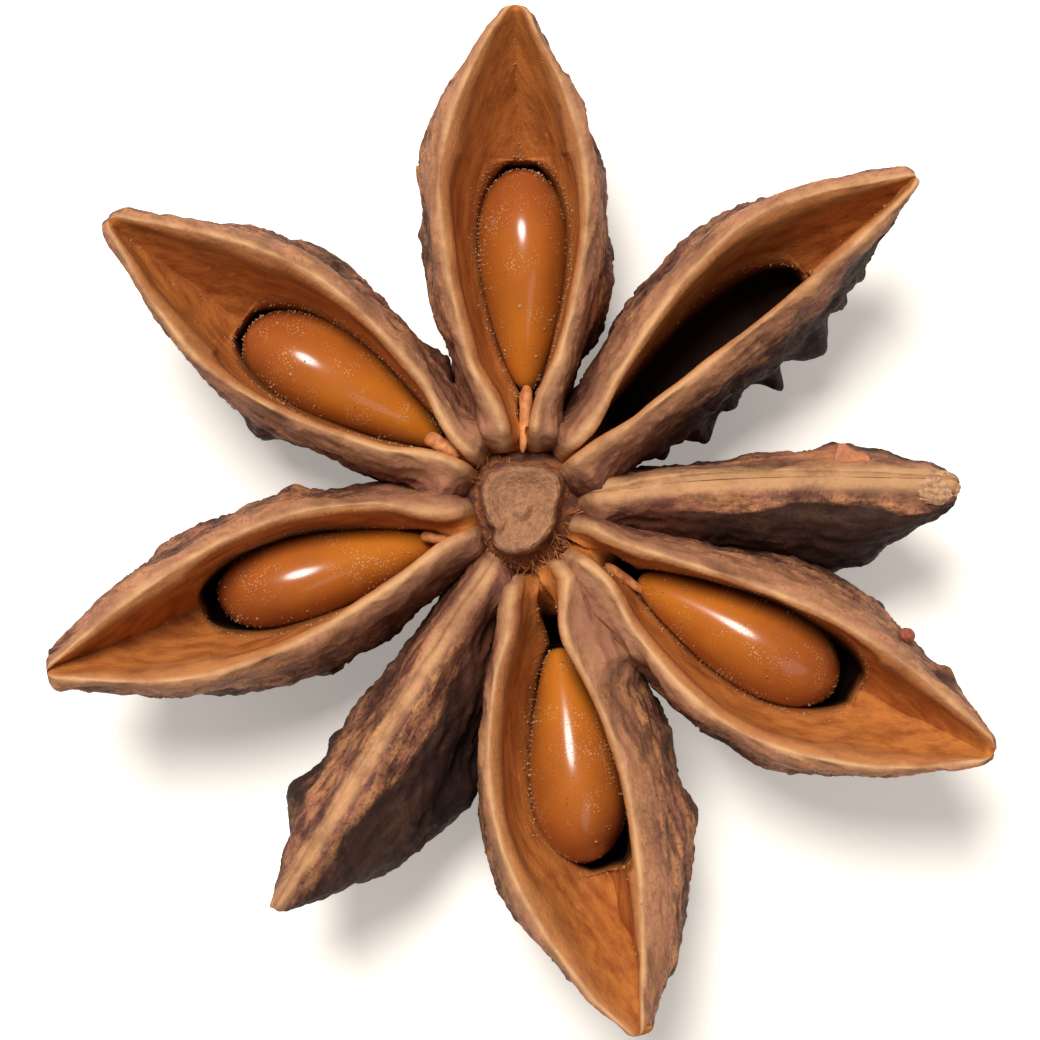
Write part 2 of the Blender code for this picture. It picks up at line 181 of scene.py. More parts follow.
def lip_height(carpel, x):
    """Give the height of a carpel's lips at x."""
    return LIP_HEIGHT + carpel["lift"] + LIP_RISE * (along(carpel, x) - 0.5)


def keel_height(carpel, x):
    """Give the height of a carpel's keel at x: low in the middle, and up under the beak."""
    t = along(carpel, x)
    low = KEEL_ROOT + (KEEL_LOW - KEEL_ROOT) * smoothstep(0.0, 0.3, t)
    climb = np.clip((t - 0.42) / 0.58, 0.0, 1.0)
    return low + (lip_height(carpel, x) - BEAK_THICKNESS - low) * climb**1.8


def flank_room(index, x):
    """Give how wide the left and right flanks may be before they meet the neighbours."""
    carpel, before, after = CARPELS[index], CARPELS[index - 1], CARPELS[(index + 1) % len(CARPELS)]
    left = (after["azimuth"] - carpel["azimuth"]) % 360 * carpel["share"]
    right = (carpel["azimuth"] - before["azimuth"]) % 360 * (1 - before["share"])
    return x * math.tan(math.radians(left)) + 0.12, x * math.tan(math.radians(right)) + 0.12


def lip_lines(carpel, side, x):
    """Give the distance of one lip's crest from the carpel's line, its width, and its height."""
    t = along(carpel, x)
    peak, root, fullest, tip = carpel[side + "_lip"]
    end_x, end_y = carpel[side + "_end"]
    if side == "right":
        end_y = -end_y
    width = LIP_WIDTH + LIP_END_EXTRA * np.exp(-(((x - 2.4) / 2.6) ** 2))
    width = width - LIP_BEAK_LESS * smoothstep(0.75, 1.0, t)
    if carpel["shut"]:
        width = 0.6 * width
    crest = peak * swell(t, root, fullest, tip) + 0.4 * width
    near = 1 - smoothstep(end_x, end_x + 3.2, x)
    crest = crest + (end_y - crest) * near
    nose = np.clip((x - end_x + 0.45) / 1.1, 0.0, 1.0)
    rise = np.sqrt(1 - (1 - nose) ** 2)
    return crest, width, lip_height(carpel, x) - LIP_END_DROP * (1 - rise)


keel_ups = keel_height(CARPELS[0], np.array([2.0, 8.0, 14.0]))
print("the keel of the first carpel is", np.round(keel_ups, 2), "mm up")

# %% Where the pocket runs
POCKET_SLOT = 0.34  # half width of the slit that a pocket starts as


def pocket_line(carpel, x):
    """Give the pocket's middle, its half width and how far it has opened downward, at x."""
    pocket = carpel["pocket"]
    (start_x, start_y), (end_x, end_y) = pocket["start"], pocket["end"]
    end_x = end_x + END_ROOM[carpel["name"]]
    crease = pocket.get("crease", 0.4 * end_y)
    middle = np.interp(x, (2.4, start_x, end_x, end_x + 2.4), (0.5 * start_y, start_y, end_y, crease))
    behind_seed = smoothstep(end_x - 3.0, end_x, x) * (1 - smoothstep(end_x, end_x + 2, x))
    middle = middle + pocket.get("side", 0.0) * behind_seed
    half = (pocket["width"] / 2 + 0.02) * drop((x - start_x + 0.3) / (end_x - start_x + 0.3))
    slot = POCKET_SLOT * smoothstep(2.5, 3.6, x) * (x < (start_x + end_x) / 2)
    half = np.maximum(half, slot)
    opened = smoothstep(2.7, 5.2, x) * smoothstep(0.0, 0.3, end_x - x)
    return middle, np.where(x < end_x, half, 0.0), opened


middle, half, opened = pocket_line(CARPELS[2], np.array([8.0]))
print("the north pocket is", round(2 * half[0], 2), "mm wide where x is 8 mm")

# %% The corner points of every cut through one carpel
GROWN_TOGETHER = 4.2  # how far out neighbours stay fused, in mm, where the next table says nothing else
FUSED = {
    ("south", "left"): 7.4,
    ("southeast", "right"): 7.4,
    ("west", "left"): 3.4,
    ("southwest", "right"): 3.4,
}
BOWL_DEPTH, BOWL_LEAST = 5.2, 0.25  # how deep the smooth hollow gets, and how deep it starts
POCKET_BRIM, FINGER_BRIM = 1.7, 1.2  # least depth of a pocket's edge: along a seed, and under a lip
POCKET_FLOOR, FLOOR_WALL = 1.6, 1.0  # lowest height of a pocket's floor, and the wood left under it


def section(index, x):
    """Give the corner points of the cuts at every x, as (cut, corner, (y, z)), and their depth."""
    carpel = CARPELS[index]
    keel = keel_height(carpel, x)
    rooms = dict(zip(("left", "right"), flank_room(index, x)))
    corners, depths = [], []
    for side, sign in (("right", -1.0), ("left", 1.0)):
        peak, root, fullest, tip = carpel[side + "_flank"]
        crest, width, top = lip_lines(carpel, side, x)
        fused = 1 - smoothstep(-1.6, 0.0, x - FUSED.get((carpel["name"], side), GROWN_TOGETHER))
        out = np.minimum(peak * swell(along(carpel, x), root, fullest, tip), rooms[side])
        out = np.maximum(out, rooms[side] * fused)
        crest = np.minimum(crest, out - 0.55 * width)
        out = np.maximum(out, crest + 0.6 * width)
        height = top - keel
        inner = crest - 0.45 * width
        if carpel["shut"]:
            other = "left" if side == "right" else "right"
            other_crest, other_width, _ = lip_lines(carpel, other, x)
            middle, half, opened = 0 * x, 0 * x, 0 * x
            edge = (inner - other_crest + 0.45 * other_width) / 2
            middle = sign * edge
            depth = carpel["groove"] + 0 * x
            upper, lower = 0.4 * depth, 0.8 * depth
        else:
            middle, half, opened = pocket_line(carpel, x)
            inside_wall = np.minimum(out - 0.5, 0.62 * out + 0.38 * crest - 0.3)
            edge = np.minimum(sign * middle + half, inside_wall)
            span = np.maximum(inner - sign * middle, 0.25)
            past = np.clip((x - 9.0) / (carpel["reach"] - 9.2), 0.0, 1.0)
            deepest = BOWL_LEAST + BOWL_DEPTH * smoothstep(1.4, 8.5, x) ** 0.8 * (1 - past**1.9)
            roundness = 2.2 - 1.0 * smoothstep(10.0, 15.5, x)
            places_on = [inner + step * (edge - inner) for step in (0.33, 0.68, 1.0)]
            bowl = [deepest * (1 - np.clip(1 - (inner - y) / span, 0, 1) ** roundness) for y in places_on]
            depth = np.maximum(bowl[2], POCKET_BRIM * smoothstep(3.0, 6.5, x) * opened)
            depth = np.where(edge > inner, np.maximum(depth, FINGER_BRIM), depth)
            upper, lower = np.maximum(bowl[0], 0.36 * depth), np.maximum(bowl[1], 0.70 * depth)
        brim = top - 0.22 * width
        line = brim - depth
        floor = np.minimum(np.maximum(POCKET_FLOOR, keel + FLOOR_WALL), line - 0.05)
        deep = line - (line - floor) * opened
        widest = keel + (0.52 + 0.40 * fused) * height
        upper_flank = (0.62 * out + 0.38 * (crest + 0.5 * width), keel + (0.80 + 0.16 * fused) * height)
        shoulder = (crest + 0.5 * width, top - 0.32 * width)
        if carpel["shut"]:
            upper_flank = (crest + 0.78 * (out - crest), widest + (carpel["roof"] - 0.28) * (top - widest))
            shoulder = (crest + 0.40 * (out - crest), widest + carpel["roof"] * (top - widest))
        rows = (
            (0.4 * out, keel + 0.05 * height),
            (0.79 * out, keel + 0.24 * height),
            (out, widest),
            upper_flank,
            shoulder,
            (crest, top),
            (inner, brim),
            (inner + 0.33 * (edge - inner), brim - upper),
            (inner + 0.68 * (edge - inner), brim - lower),
            (edge, line),
            (edge - 0.2 * half * opened, line - 0.45 * (line - deep)),
            (sign * middle + 0.5 * half, deep),
        )
        corners.append([np.stack([sign * y, z + 0 * x], axis=-1) for y, z in rows])
        none = 0 * x
        # The last three corners carry how far the pocket has opened, which later sets its near-black painted
        # shade.
        depths.append([none] * 9 + [0.25 * opened, opened, opened])
    right, left = corners
    out_shift = 0.1 * (left[2][:, 0] + right[2][:, 0])
    keel_point = np.stack([out_shift, keel], axis=-1)
    points = np.stack([keel_point, *right, *left[::-1]], axis=1)
    hollow = np.stack([0 * x, *depths[0], *depths[1][::-1]], axis=1)
    return points, hollow


points, hollow = section(2, np.array([3.0, 8.0, 15.0]))
print("one cut has", points.shape[1], "corners")
print("the pocket's floor is", points[1, 12, 1].round(2), "mm from the ground")

# %% [markdown]
# ## Folding a ball into a boat
# Every carpel starts as a fine sphere with its poles at the column and at the beak. Its rings become
# the cuts and its meridians run along the boat, closer together on the lips, where the light catches.
# A smooth closed curve runs through the corner points of each cut. After that the bark gets its
# relief: broad dents, wrinkles that mostly follow the length, and a fine roughness, all moved along
# the surface's own direction. The inner face stays smooth, as it is on the real pod.

# %% Where the meridians run
SPREAD = (10, 12, 12, 14, 13, 7, 7, 8, 9, 9, 6, 6)  # meridians from corner to corner, keel to pocket
SPREAD = (*SPREAD, 4, *reversed(SPREAD))
STATIONS = np.concatenate([k + np.arange(count) / count for k, count in enumerate(SPREAD)])
FLOOR_STATION = 12.5  # half way round a cut, in the middle of the pocket's floor or on the seam
ON_RIGHT, ON_LEFT = STATIONS < FLOOR_STATION, STATIONS > FLOOR_STATION
SEAM_MERIDIAN = len(STATIONS) // 2
RINGS = 190
MASKS = {  # a value for each corner, from the keel to the pocket's floor
    "inner": (0, 0, 0, 0, 0, 0, 0.0, 0.8, 1, 1, 1, 1, 1),
    "lip": (0, 0, 0, 0, 0.0, 0.12, 1.0, 0.2, 0.0, 0, 0, 0, 0),
}
MASKS = {name: np.array((*half, *half[:0:-1])) for name, half in MASKS.items()}


def closed_curve(points, stations):
    """Read a smooth closed curve through the corners of every cut at the stations."""
    count = points.shape[1]
    chord = np.linalg.norm(np.roll(points, -1, axis=1) - points, axis=2, keepdims=True) + 1e-6
    before = np.roll(chord, 1, axis=1)
    slope = (np.roll(points, -1, axis=1) - points) / chord
    slope_before = np.roll(slope, 1, axis=1)
    tangent = (chord * slope_before + before * slope) / (chord + before)
    start = stations.astype(int) % count
    end = (start + 1) % count
    f = (stations - stations.astype(int))[None, :, None]
    span = chord[:, start]
    return (
        (2 * f**3 - 3 * f**2 + 1) * points[:, start]
        + (f**3 - 2 * f**2 + f) * span * tangent[:, start]
        + (3 * f**2 - 2 * f**3) * points[:, end]
        + (f**3 - f**2) * span * tangent[:, end]
    )


def read_mask(values, stations):
    """Read values given at the corners, straight from one corner to the next."""
    values = np.asarray(values)
    start = stations.astype(int) % values.shape[-1]
    f = stations - stations.astype(int)
    return values[..., start] * (1 - f) + values[..., (start + 1) % values.shape[-1]] * f


print(len(STATIONS), "meridians and", RINGS, "rings for each carpel")

# %% The relief of the bark
KNOBS = {  # carpel: (distance outward, station round the cut, radius, height) of each knob of its bark
    "northeast": (
        (10.1, 2.7, 0.40, 0.9), (12.0, 2.7, 0.60, 0.95), (11.3, 2.7, 0.4, 0.3), (6.9, 2.7, 0.5, 0.5),
        (5.25, 2.7, 0.4, 0.5), (8.4, 2.8, 0.4, 0.3), (13.6, 2.7, 0.5, 0.45), (14.8, 2.7, 0.4, 0.3),
    ),
    "northwest": ((9.25, 22.3, 0.7, 0.5), (5.6, 2.9, 0.85, 0.5), (8.2, 22.5, 0.4, 0.2)),
    "west": ((7.6, 3.4, 0.45, 0.3), (8.4, 22.0, 0.7, 0.3)),
    "southwest": (
        (10.6, 3.4, 0.6, 0.55), (12.9, 2.8, 1.0, 0.7), (10.0, 22.0, 1.2, 0.5), (7.5, 22.6, 0.8, 0.4),
    ),
    "south": ((12.0, 22.0, 0.8, 0.4), (9.0, 21.6, 0.6, 0.3)),
    "southeast": ((13.0, 22.4, 0.5, 0.3), (16.2, 21.7, 0.4, 0.3)),
    "east": ((11.4, 21.8, 0.7, 0.4), (8.0, 3.0, 0.9, 0.4), (12.4, 2.8, 0.8, 0.4)),
}


def bark_relief(places, seed):
    """Give the height of the wrinkled outer bark at places in a carpel's own frame."""
    broad = grain(places, (3.0, 1.8, 1.8), seed)
    folds = grain(places, (2.4, 0.8, 0.8), seed + 3)
    ridges = 1 - np.abs(grain(places, (1.3, 0.55, 0.55), seed + 5)) * 2.6
    fine = grain(places, (0.34, 0.22, 0.22), seed + 7)
    return 0.24 * broad + 0.13 * folds + 0.09 * ridges + 0.05 * fine


sample = bark_relief(np.linspace((0.0, 0.0, 0.0), (15.0, 3.0, 3.0), 400), 1)
print("the bark goes up and down by", np.round(np.ptp(sample), 2), "mm")

# %% The surface of a carpel, ring by ring
def ring_places(carpel):
    """Give each ring's distance from the column, closer where lips and pocket end and at the beak."""
    reach = carpel["reach"]
    pocket_end = carpel["pocket"]["end"][0] + END_ROOM[carpel["name"]] if carpel["pocket"] else 9.0
    walk = np.linspace(ROOT, reach, 600)
    busy = 1 + 1.2 * np.exp(-(((walk - 2.4) / 0.8) ** 2)) + 1.6 * np.exp(-(((walk - pocket_end) / 0.4) ** 2))
    busy += 1.5 * np.exp(-(((walk - reach) / 0.5) ** 2))
    steps = np.cumsum(busy)
    return np.interp(np.linspace(steps[0], steps[-1], RINGS + 1), steps, walk)


def smooth_carpel(index):
    """Give a carpel's surface without relief, as (ring, meridian) places in its own frame, and its masks."""
    carpel = CARPELS[index]
    x = ring_places(carpel)
    corners, hollow = section(index, x)
    blunt = np.sqrt(np.clip(1 - np.clip((x - carpel["reach"] + 0.3) / 0.3, 0, 1) ** 2, 0, 1))
    blunt *= smoothstep(ROOT - 0.1, ROOT + 0.3, x)
    centre = (corners[:, :1] + corners[:, 6:7] + corners[:, 19:20]) / 3
    corners = centre + (corners - centre) * blunt[:, None, None]
    cut = closed_curve(corners, STATIONS)
    places = np.concatenate([np.broadcast_to(x[:, None, None], (*cut.shape[:2], 1)), cut], axis=2)

    inner = np.broadcast_to(read_mask(MASKS["inner"], STATIONS), places.shape[:2])
    lip = np.broadcast_to(read_mask(MASKS["lip"], STATIONS), places.shape[:2])
    deep = read_mask(hollow, STATIONS)
    if carpel["shut"]:
        inner = inner * 0.0
        from_seam = np.abs(places[..., 1] - places[:, SEAM_MERIDIAN, 1][:, None])
        on_top = np.abs(STATIONS - FLOOR_STATION) < 9.0
        lip = 0.65 * (1 - smoothstep(*carpel["seam"], from_seam)) * on_top
    return x, places, inner, lip, deep


def outward(places):
    """Give the surface's own direction at every place of a (ring, meridian) grid."""
    run = np.gradient(places, axis=0)
    around = (np.roll(places, -1, axis=1) - np.roll(places, 1, axis=1)) / 2
    normal = np.cross(run, around)
    return normal / (np.linalg.norm(normal, axis=2, keepdims=True) + 1e-9)


x, places, inner, lip, deep = smooth_carpel(0)
print("the first carpel's smooth surface has", places.shape[0] * places.shape[1], "places")

# %% Relief and masks for one carpel
# Where a shut carpel's flank, turned from the light, gets painted shade, in mm from its seam: where that
# starts, and where it has.
FLANK_SHADE_FROM = {("east", "right"): (0.9, 1.5), ("southwest", "left"): (0.9, 1.4)}
# How much sooner than the others a flank gets painted shade on its way down.
FLANK_SHADE_GAIN = {
    ("east", "right"): 2.6,
    ("southwest", "left"): 3.6,
    ("northeast", "right"): 2.2,
    ("east", "left"): 1.3,
}
RUSTY_PLACE, RUSTY_SPREAD = (11.5, 1.45), (1.3, 0.4)  # the rusty patch of the east carpel's bark


def height_shares(index, x, places):
    """Give how far below the lips each place is, as a share of the way down, more on the flanks that get
    stronger painted shade.
    """
    carpel = CARPELS[index]
    top = lip_height(carpel, x)[:, None]
    low = np.clip((top - places[..., 2]) / (top - keel_height(carpel, x)[:, None] + 0.5), 0, 1)
    darker = {side: FLANK_SHADE_GAIN.get((carpel["name"], side), 1.0) for side in ("right", "left")}
    low = low * np.where(ON_RIGHT, darker["right"], darker["left"])
    for side, on_side in (("right", ON_RIGHT), ("left", ON_LEFT)):
        if (carpel["name"], side) in FLANK_SHADE_FROM:
            seam = places[:, SEAM_MERIDIAN, 1][:, None]
            start, end = FLANK_SHADE_FROM[carpel["name"], side]
            uneven = 0.5 * grain(places.reshape(-1, 3), (2.2, 0.9, 0.9), index + 18).reshape(low.shape)
            beside = smoothstep(start, end, np.abs(places[..., 1] - seam) + uneven)
            low = np.where(on_side, np.maximum(low, 0.95 * beside), low)
    if carpel["shut"]:
        low = np.maximum(low, 0.2)
    return low


def carpel_grid(index):
    """Give a carpel's surface as (ring, meridian) places in its own frame, and the masks that paint it."""
    carpel = CARPELS[index]
    x, places, inner, lip, deep = smooth_carpel(index)
    normal = outward(places)
    flat = places.reshape(-1, 3)
    seed = index + 1
    relief = bark_relief(flat, seed).reshape(places.shape[:2])
    waver = grain(flat, (1.5, 1.2, 1.2), seed + 11).reshape(places.shape[:2])
    nicks = grain(flat, (0.5, 0.4, 0.4), seed + 13).reshape(places.shape[:2])
    outer = (1 - inner) * (1 - 0.8 * lip)
    away = smoothstep(ROOT, 4.5, x)[:, None]
    drop_share = np.clip((lip_height(carpel, x)[:, None] - places[..., 2]) / 6.0, 0, 1)
    move = outer * relief * (0.35 + 0.65 * away) * (0.7 + 1.1 * drop_share)
    move = move + lip * (0.05 * waver + 0.035 * nicks) + inner * 0.05 * waver
    for knob_x, station, radius, height in KNOBS.get(carpel["name"], ()):
        ring = np.argmin(np.abs(x - knob_x))
        column = np.argmin(np.abs(STATIONS - station))
        away_from = np.linalg.norm(places - places[ring, column], axis=2)
        bump = np.exp(-((away_from / radius) ** 2)) * (1 - inner)
        move = move + height * bump
        relief = relief - 0.4 * height * bump
    places = places + normal * move[..., None]
    places[..., 2] = np.maximum(places[..., 2], 0.0)
    low = height_shares(index, x, places)
    near = np.broadcast_to(1 - smoothstep(4.2, 7.5, x)[:, None], low.shape)
    rust = np.zeros(low.shape)
    if carpel["name"] == "east":
        away_from = (places[..., :2] - RUSTY_PLACE) / RUSTY_SPREAD
        rust = np.exp(-(away_from[..., 0] ** 2) - away_from[..., 1] ** 2)
    masks = {"inner": inner, "lip": lip, "deep": deep, "relief": relief}
    masks |= {"low": low, "near": near, "rust": rust}
    return places, masks


places, masks = carpel_grid(0)
print("the first carpel is", np.round(np.ptp(places.reshape(-1, 3), axis=0), 2), "mm long, wide and high")

# %% Fill a sphere with a grid
def ball_order(mesh, segments, rings):
    """Give the ring and the meridian of every vertex of a fresh sphere."""
    spots = np.empty(len(mesh.vertices) * 3)
    mesh.vertices.foreach_get("co", spots)
    spots = spots.reshape(-1, 3)
    spots /= np.linalg.norm(spots, axis=1, keepdims=True)
    ring = np.rint(np.arccos(np.clip(spots[:, 2], -1, 1)) / math.pi * rings).astype(int)
    meridian = np.rint(np.arctan2(spots[:, 1], spots[:, 0]) / math.tau * segments).astype(int) % segments
    return ring, meridian


def keep_faces_outward(piece):
    """Turn a closed piece's faces over if they look inward."""
    mesh = piece.data
    mesh.calc_loop_triangles()
    corners = np.empty(len(mesh.loop_triangles) * 3, dtype=np.int32)
    mesh.loop_triangles.foreach_get("vertices", corners)
    spots = np.empty(len(mesh.vertices) * 3)
    mesh.vertices.foreach_get("co", spots)
    a, b, c = np.moveaxis(spots.reshape(-1, 3)[corners.reshape(-1, 3)], 1, 0)
    if np.einsum("ij,ij->i", a, np.cross(b, c)).sum() < 0:
        mesh.flip_normals()


def fresh_ball(name, segments, rings):
    """Add a unit sphere, with nothing else selected."""
    bpy.ops.object.select_all(action="DESELECT")
    bpy.ops.mesh.primitive_uv_sphere_add(segments=segments, ring_count=rings, radius=1.0)
    piece = bpy.context.object
    piece.name = name
    piece.data.name = name
    return piece


def fill(piece, segments, rings, places, turn):
    """Lay a sphere's vertices on a (ring, meridian) grid of millimetres, turned about the column's axis."""
    ring, meridian = ball_order(piece.data, segments, rings)
    spots = places[ring, meridian]
    pole = (ring == 0) | (ring == rings)
    spots[pole] = places[ring[pole]].mean(axis=1)
    cos, sin = math.cos(math.radians(turn)), math.sin(math.radians(turn))
    x = spots[:, 0] * cos - spots[:, 1] * sin + AXIS.x
    y = spots[:, 0] * sin + spots[:, 1] * cos + AXIS.y
    piece.data.vertices.foreach_set("co", (np.stack([x, y, spots[:, 2]], axis=1) * MM).ravel())
    piece.data.update()
    keep_faces_outward(piece)
    return ring, meridian


carpel_pieces = []
carpel_grids = []
for index, carpel in enumerate(CARPELS):
    places, masks = carpel_grid(index)
    piece = fresh_ball("carpel_" + carpel["name"], len(STATIONS), RINGS)
    ring, meridian = fill(piece, len(STATIONS), RINGS, places, carpel["azimuth"])
    for name, mask in masks.items():
        layer = piece.data.attributes.new(name, "FLOAT", "POINT")
        layer.data.foreach_set("value", mask[ring, meridian].astype(np.float32))
    lay = piece.data.attributes.new("lay", "FLOAT_VECTOR", "POINT")
    own = places[ring, meridian] + (40.0 * index, 0.0, 0.0)
    lay.data.foreach_set("vector", own.astype(np.float32).ravel())
    piece.data.shade_smooth()
    piece.data.set_sharp_from_angle(angle=math.radians(70))
    carpel_pieces.append(piece)
    carpel_grids.append((places, masks))
print(sum(len(piece.data.polygons) for piece in carpel_pieces), "faces in the eight carpels")

# %% [markdown]
# ## The column
# In the middle stands what is left of the flower's axis: a short post whose head is a little
# many-sided dish with a nub in it, and whose foot carries the round scar of the stalk. A lathe
# profile gives the post, and the head is pressed out of round, corner by corner. A cylinder would
# look turned, so the rings of a fine sphere take the profile's places and some roughness on top.

# %% The column's post
HEAD_CORNERS = (  # where the head's edge lies, in mm from the axis
    (1.21, 0.11), (1.32, 1.21), (0.18, 1.54), (-1.25, 1.21), (-1.36, 0.11),
    (-0.93, -0.71), (-1.04, -1.25), (-0.57, -1.54), (0.82, -1.0),
)
COLUMN_PROFILE = (  # radius, height, and how far the head's own outline rules there
    (0.0, 0.25, 0), (0.9, 0.2, 0), (1.25, 0.05, 0), (1.5, 0.1, 0), (2.3, 1.3, 0), (2.35, 4.0, 0),
    (2.4, 5.4, 0), (2.15, 6.3, 0.2), (1.65, 6.75, 0.8), (1.44, 7.3, 1), (1.40, 8.0, 1), (1.28, 8.18, 1),
    (1.08, 8.04, 1), (0.86, 7.86, 1), (0.66, 7.78, 1), (0.52, 7.74, 0.5), (0.42, 7.70, 0.3), (0.32, 7.76, 0),
    (0.22, 7.86, 0), (0.1, 7.9, 0), (0.0, 7.9, 0),
)
COLUMN_SEGMENTS, COLUMN_RINGS = 120, 96
HEAD_RADIUS = 1.42  # of a round head that the outline then presses
turns = np.arange(COLUMN_SEGMENTS) / COLUMN_SEGMENTS * math.tau
corner_turns = np.array([math.atan2(y, x) % math.tau for x, y in HEAD_CORNERS])
corner_radii = np.array([math.hypot(x, y) for x, y in HEAD_CORNERS])
order = np.argsort(corner_turns)
outline = np.interp(turns, corner_turns[order], corner_radii[order], period=math.tau)
outline = (np.roll(outline, 1) + 2 * outline + np.roll(outline, -1)) / 4
profile = np.array(COLUMN_PROFILE)
walk = np.linspace(0, len(profile) - 1, COLUMN_RINGS + 1)
radius, height, ruled = (np.interp(walk, np.arange(len(profile)), profile[:, k]) for k in range(3))
spread = 1 + (outline[None, :] / HEAD_RADIUS - 1) * ruled[:, None]
places = np.stack([
    radius[:, None] * spread * np.cos(turns),
    radius[:, None] * spread * np.sin(turns),
    np.broadcast_to(height[:, None], spread.shape),
], axis=-1)
rough = grain(places.reshape(-1, 3), (0.7, 0.7, 0.7), 31).reshape(spread.shape)
rough_fine = grain(places.reshape(-1, 3), (0.22, 0.22, 0.22), 32).reshape(spread.shape)
head = smoothstep(6.0, 7.6, places[..., 2])
places[..., 2] += (0.09 * rough + 0.035 * rough_fine) * head
places[..., 0] *= 1 + 0.05 * rough_fine
places[..., 1] *= 1 + 0.05 * rough_fine
places[..., 2] = np.maximum(places[..., 2], 0.0)
column = fresh_ball("column", COLUMN_SEGMENTS, COLUMN_RINGS)
fill(column, COLUMN_SEGMENTS, COLUMN_RINGS, places, 0.0)
column.data.shade_smooth()
print("the column stands", round(places[..., 2].max(), 2), "mm high")

# %% [markdown]
# ## The seeds
# A seed is a hard, glossy drop, flattened a little from side to side, with its narrow end at the
# column where its stalk held it. It is a sphere again, with its poles at both ends, pressed to the drop's
# outline. A few broad, shallow dents keep its reflections from looking machined.

# %% The five seeds
SEED_SEGMENTS, SEED_RINGS = 96, 72
SEED_HALF_HEIGHT, SEED_BELOW_LIPS = 2.7, 1.3
SEED_SLOPE = math.tan(math.radians(5))  # the round end lies lower
SEED_FULLEST = 0.65  # where a seed is thickest, as a share of its length
seed_pieces = []
seed_grids = []
for index, carpel in enumerate(CARPELS):
    pocket = carpel["pocket"]
    if not pocket or not pocket["seed"]:
        continue
    (start_x, start_y), (end_x, end_y) = pocket["start"], pocket["end"]
    share = (1 - np.cos(np.linspace(0, math.pi, SEED_RINGS + 1))) / 2
    turn = np.arange(SEED_SEGMENTS) / SEED_SEGMENTS * math.tau
    full = drop(share)
    x = start_x + (end_x - start_x) * share
    middle_y = start_y + (end_y - start_y) * share
    high_x = start_x + (end_x - start_x) * SEED_FULLEST
    middle_z = lip_height(carpel, high_x) - SEED_BELOW_LIPS - SEED_HALF_HEIGHT - (x - high_x) * SEED_SLOPE
    places = np.stack([
        np.broadcast_to(x[:, None], (len(x), len(turn))),
        middle_y[:, None] + pocket["width"] / 2 * full[:, None] * np.cos(turn),
        middle_z[:, None] + SEED_HALF_HEIGHT * full[:, None] * np.sin(turn),
    ], axis=-1)
    dents = grain(places.reshape(-1, 3), (3.5, 1.6, 1.6), 40 + index).reshape(places.shape[:2])
    centre = np.stack([x, middle_y, middle_z], axis=-1)[:, None, :]
    places = centre + (places - centre) * (1 + 0.03 * dents[..., None])
    piece = fresh_ball("seed_" + carpel["name"] + "_coat", SEED_SEGMENTS, SEED_RINGS)
    ring, meridian = fill(piece, SEED_SEGMENTS, SEED_RINGS, places, carpel["azimuth"])
    ripe = piece.data.attributes.new("ripe", "FLOAT", "POINT")  # 0 at the narrow end, 1 at the round one
    ripe.data.foreach_set("value", share[ring].astype(np.float32))
    piece.data.shade_smooth()
    seed_pieces.append((piece, "seed_" + carpel["name"]))
    seed_grids.append((carpel, places))
print(len(seed_pieces), "seeds")

# %% [markdown]
# ## Stalks of the seeds, and what clings to the pod
# Each seed hung on a short pale stalk, and four stubs of it are still there. Torn fibres lie round
# the column, a flake of bark stands up on one shut carpel, whose beak has a pale scab, and one small
# round knob sits on a flank. They are rods and balls, swollen or pressed on the same kind of grid.

# %% Stalk stubs, knob and scab
def in_pod(places, azimuth):
    """Turn places of a carpel's own frame into the pod's, still in mm."""
    cos, sin = math.cos(math.radians(azimuth)), math.sin(math.radians(azimuth))
    x = places[..., 0] * cos - places[..., 1] * sin + AXIS.x
    y = places[..., 0] * sin + places[..., 1] * cos + AXIS.y
    return np.stack([x, y, places[..., 2]], axis=-1)


def rod_grid(start, end, first_radius, last_radius, sag, seed, segments, rings):
    """Give a blunt, slightly uneven rod between two places."""
    start, end = np.array(start), np.array(end)
    share = (1 - np.cos(np.linspace(0, math.pi, rings + 1))) / 2
    run = (end - start) / np.linalg.norm(end - start)
    across = np.cross(run, (0, 0, 1.0))
    across /= np.linalg.norm(across)
    up = np.cross(across, run)
    turn = np.arange(segments) / segments * math.tau
    radius = (first_radius + (last_radius - first_radius) * share) * (1 - (2 * share - 1) ** 6) ** 0.5
    centre = start + (end - start) * share[:, None] + (0, 0, 1) * (sag * np.sin(math.pi * share))[:, None]
    ring_of = across * np.cos(turn)[:, None] + up * np.sin(turn)[:, None]
    places = centre[:, None, :] + ring_of[None] * radius[:, None, None]
    uneven = grain(places.reshape(-1, 3), 0.35, seed).reshape(places.shape[:2])
    return centre[:, None, :] + (places - centre[:, None, :]) * (1 + 0.22 * uneven[..., None])


ROD_SEGMENTS, ROD_RINGS = 32, 28
STUBS = {  # where each stalk starts and ends, in mm, and its two radii
    "north": ((0.18, 4.50, 6.9), (0.02, 2.05, 7.4), 0.27, 0.12),
    "northwest": ((-3.45, 2.66, 7.2), (-2.25, 1.92, 7.6), 0.30, 0.24),
    "southeast": ((4.45, -3.0, 6.0), (3.0, -1.95, 6.6), 0.15, 0.2),
    "west": ((-3.65, -0.95, 6.7), (-2.5, -1.1, 6.9), 0.2, 0.16),
}
stub_pieces = []
for name, (start, end, first_radius, last_radius) in STUBS.items():
    seed = 60 + len(stub_pieces)
    places = rod_grid(start, end, first_radius, last_radius, 0.12, seed, ROD_SEGMENTS, ROD_RINGS)
    piece = fresh_ball("stalk_" + name, ROD_SEGMENTS, ROD_RINGS)
    fill(piece, ROD_SEGMENTS, ROD_RINGS, places, 0.0)
    piece.data.shade_smooth()
    stub_pieces.append(piece)


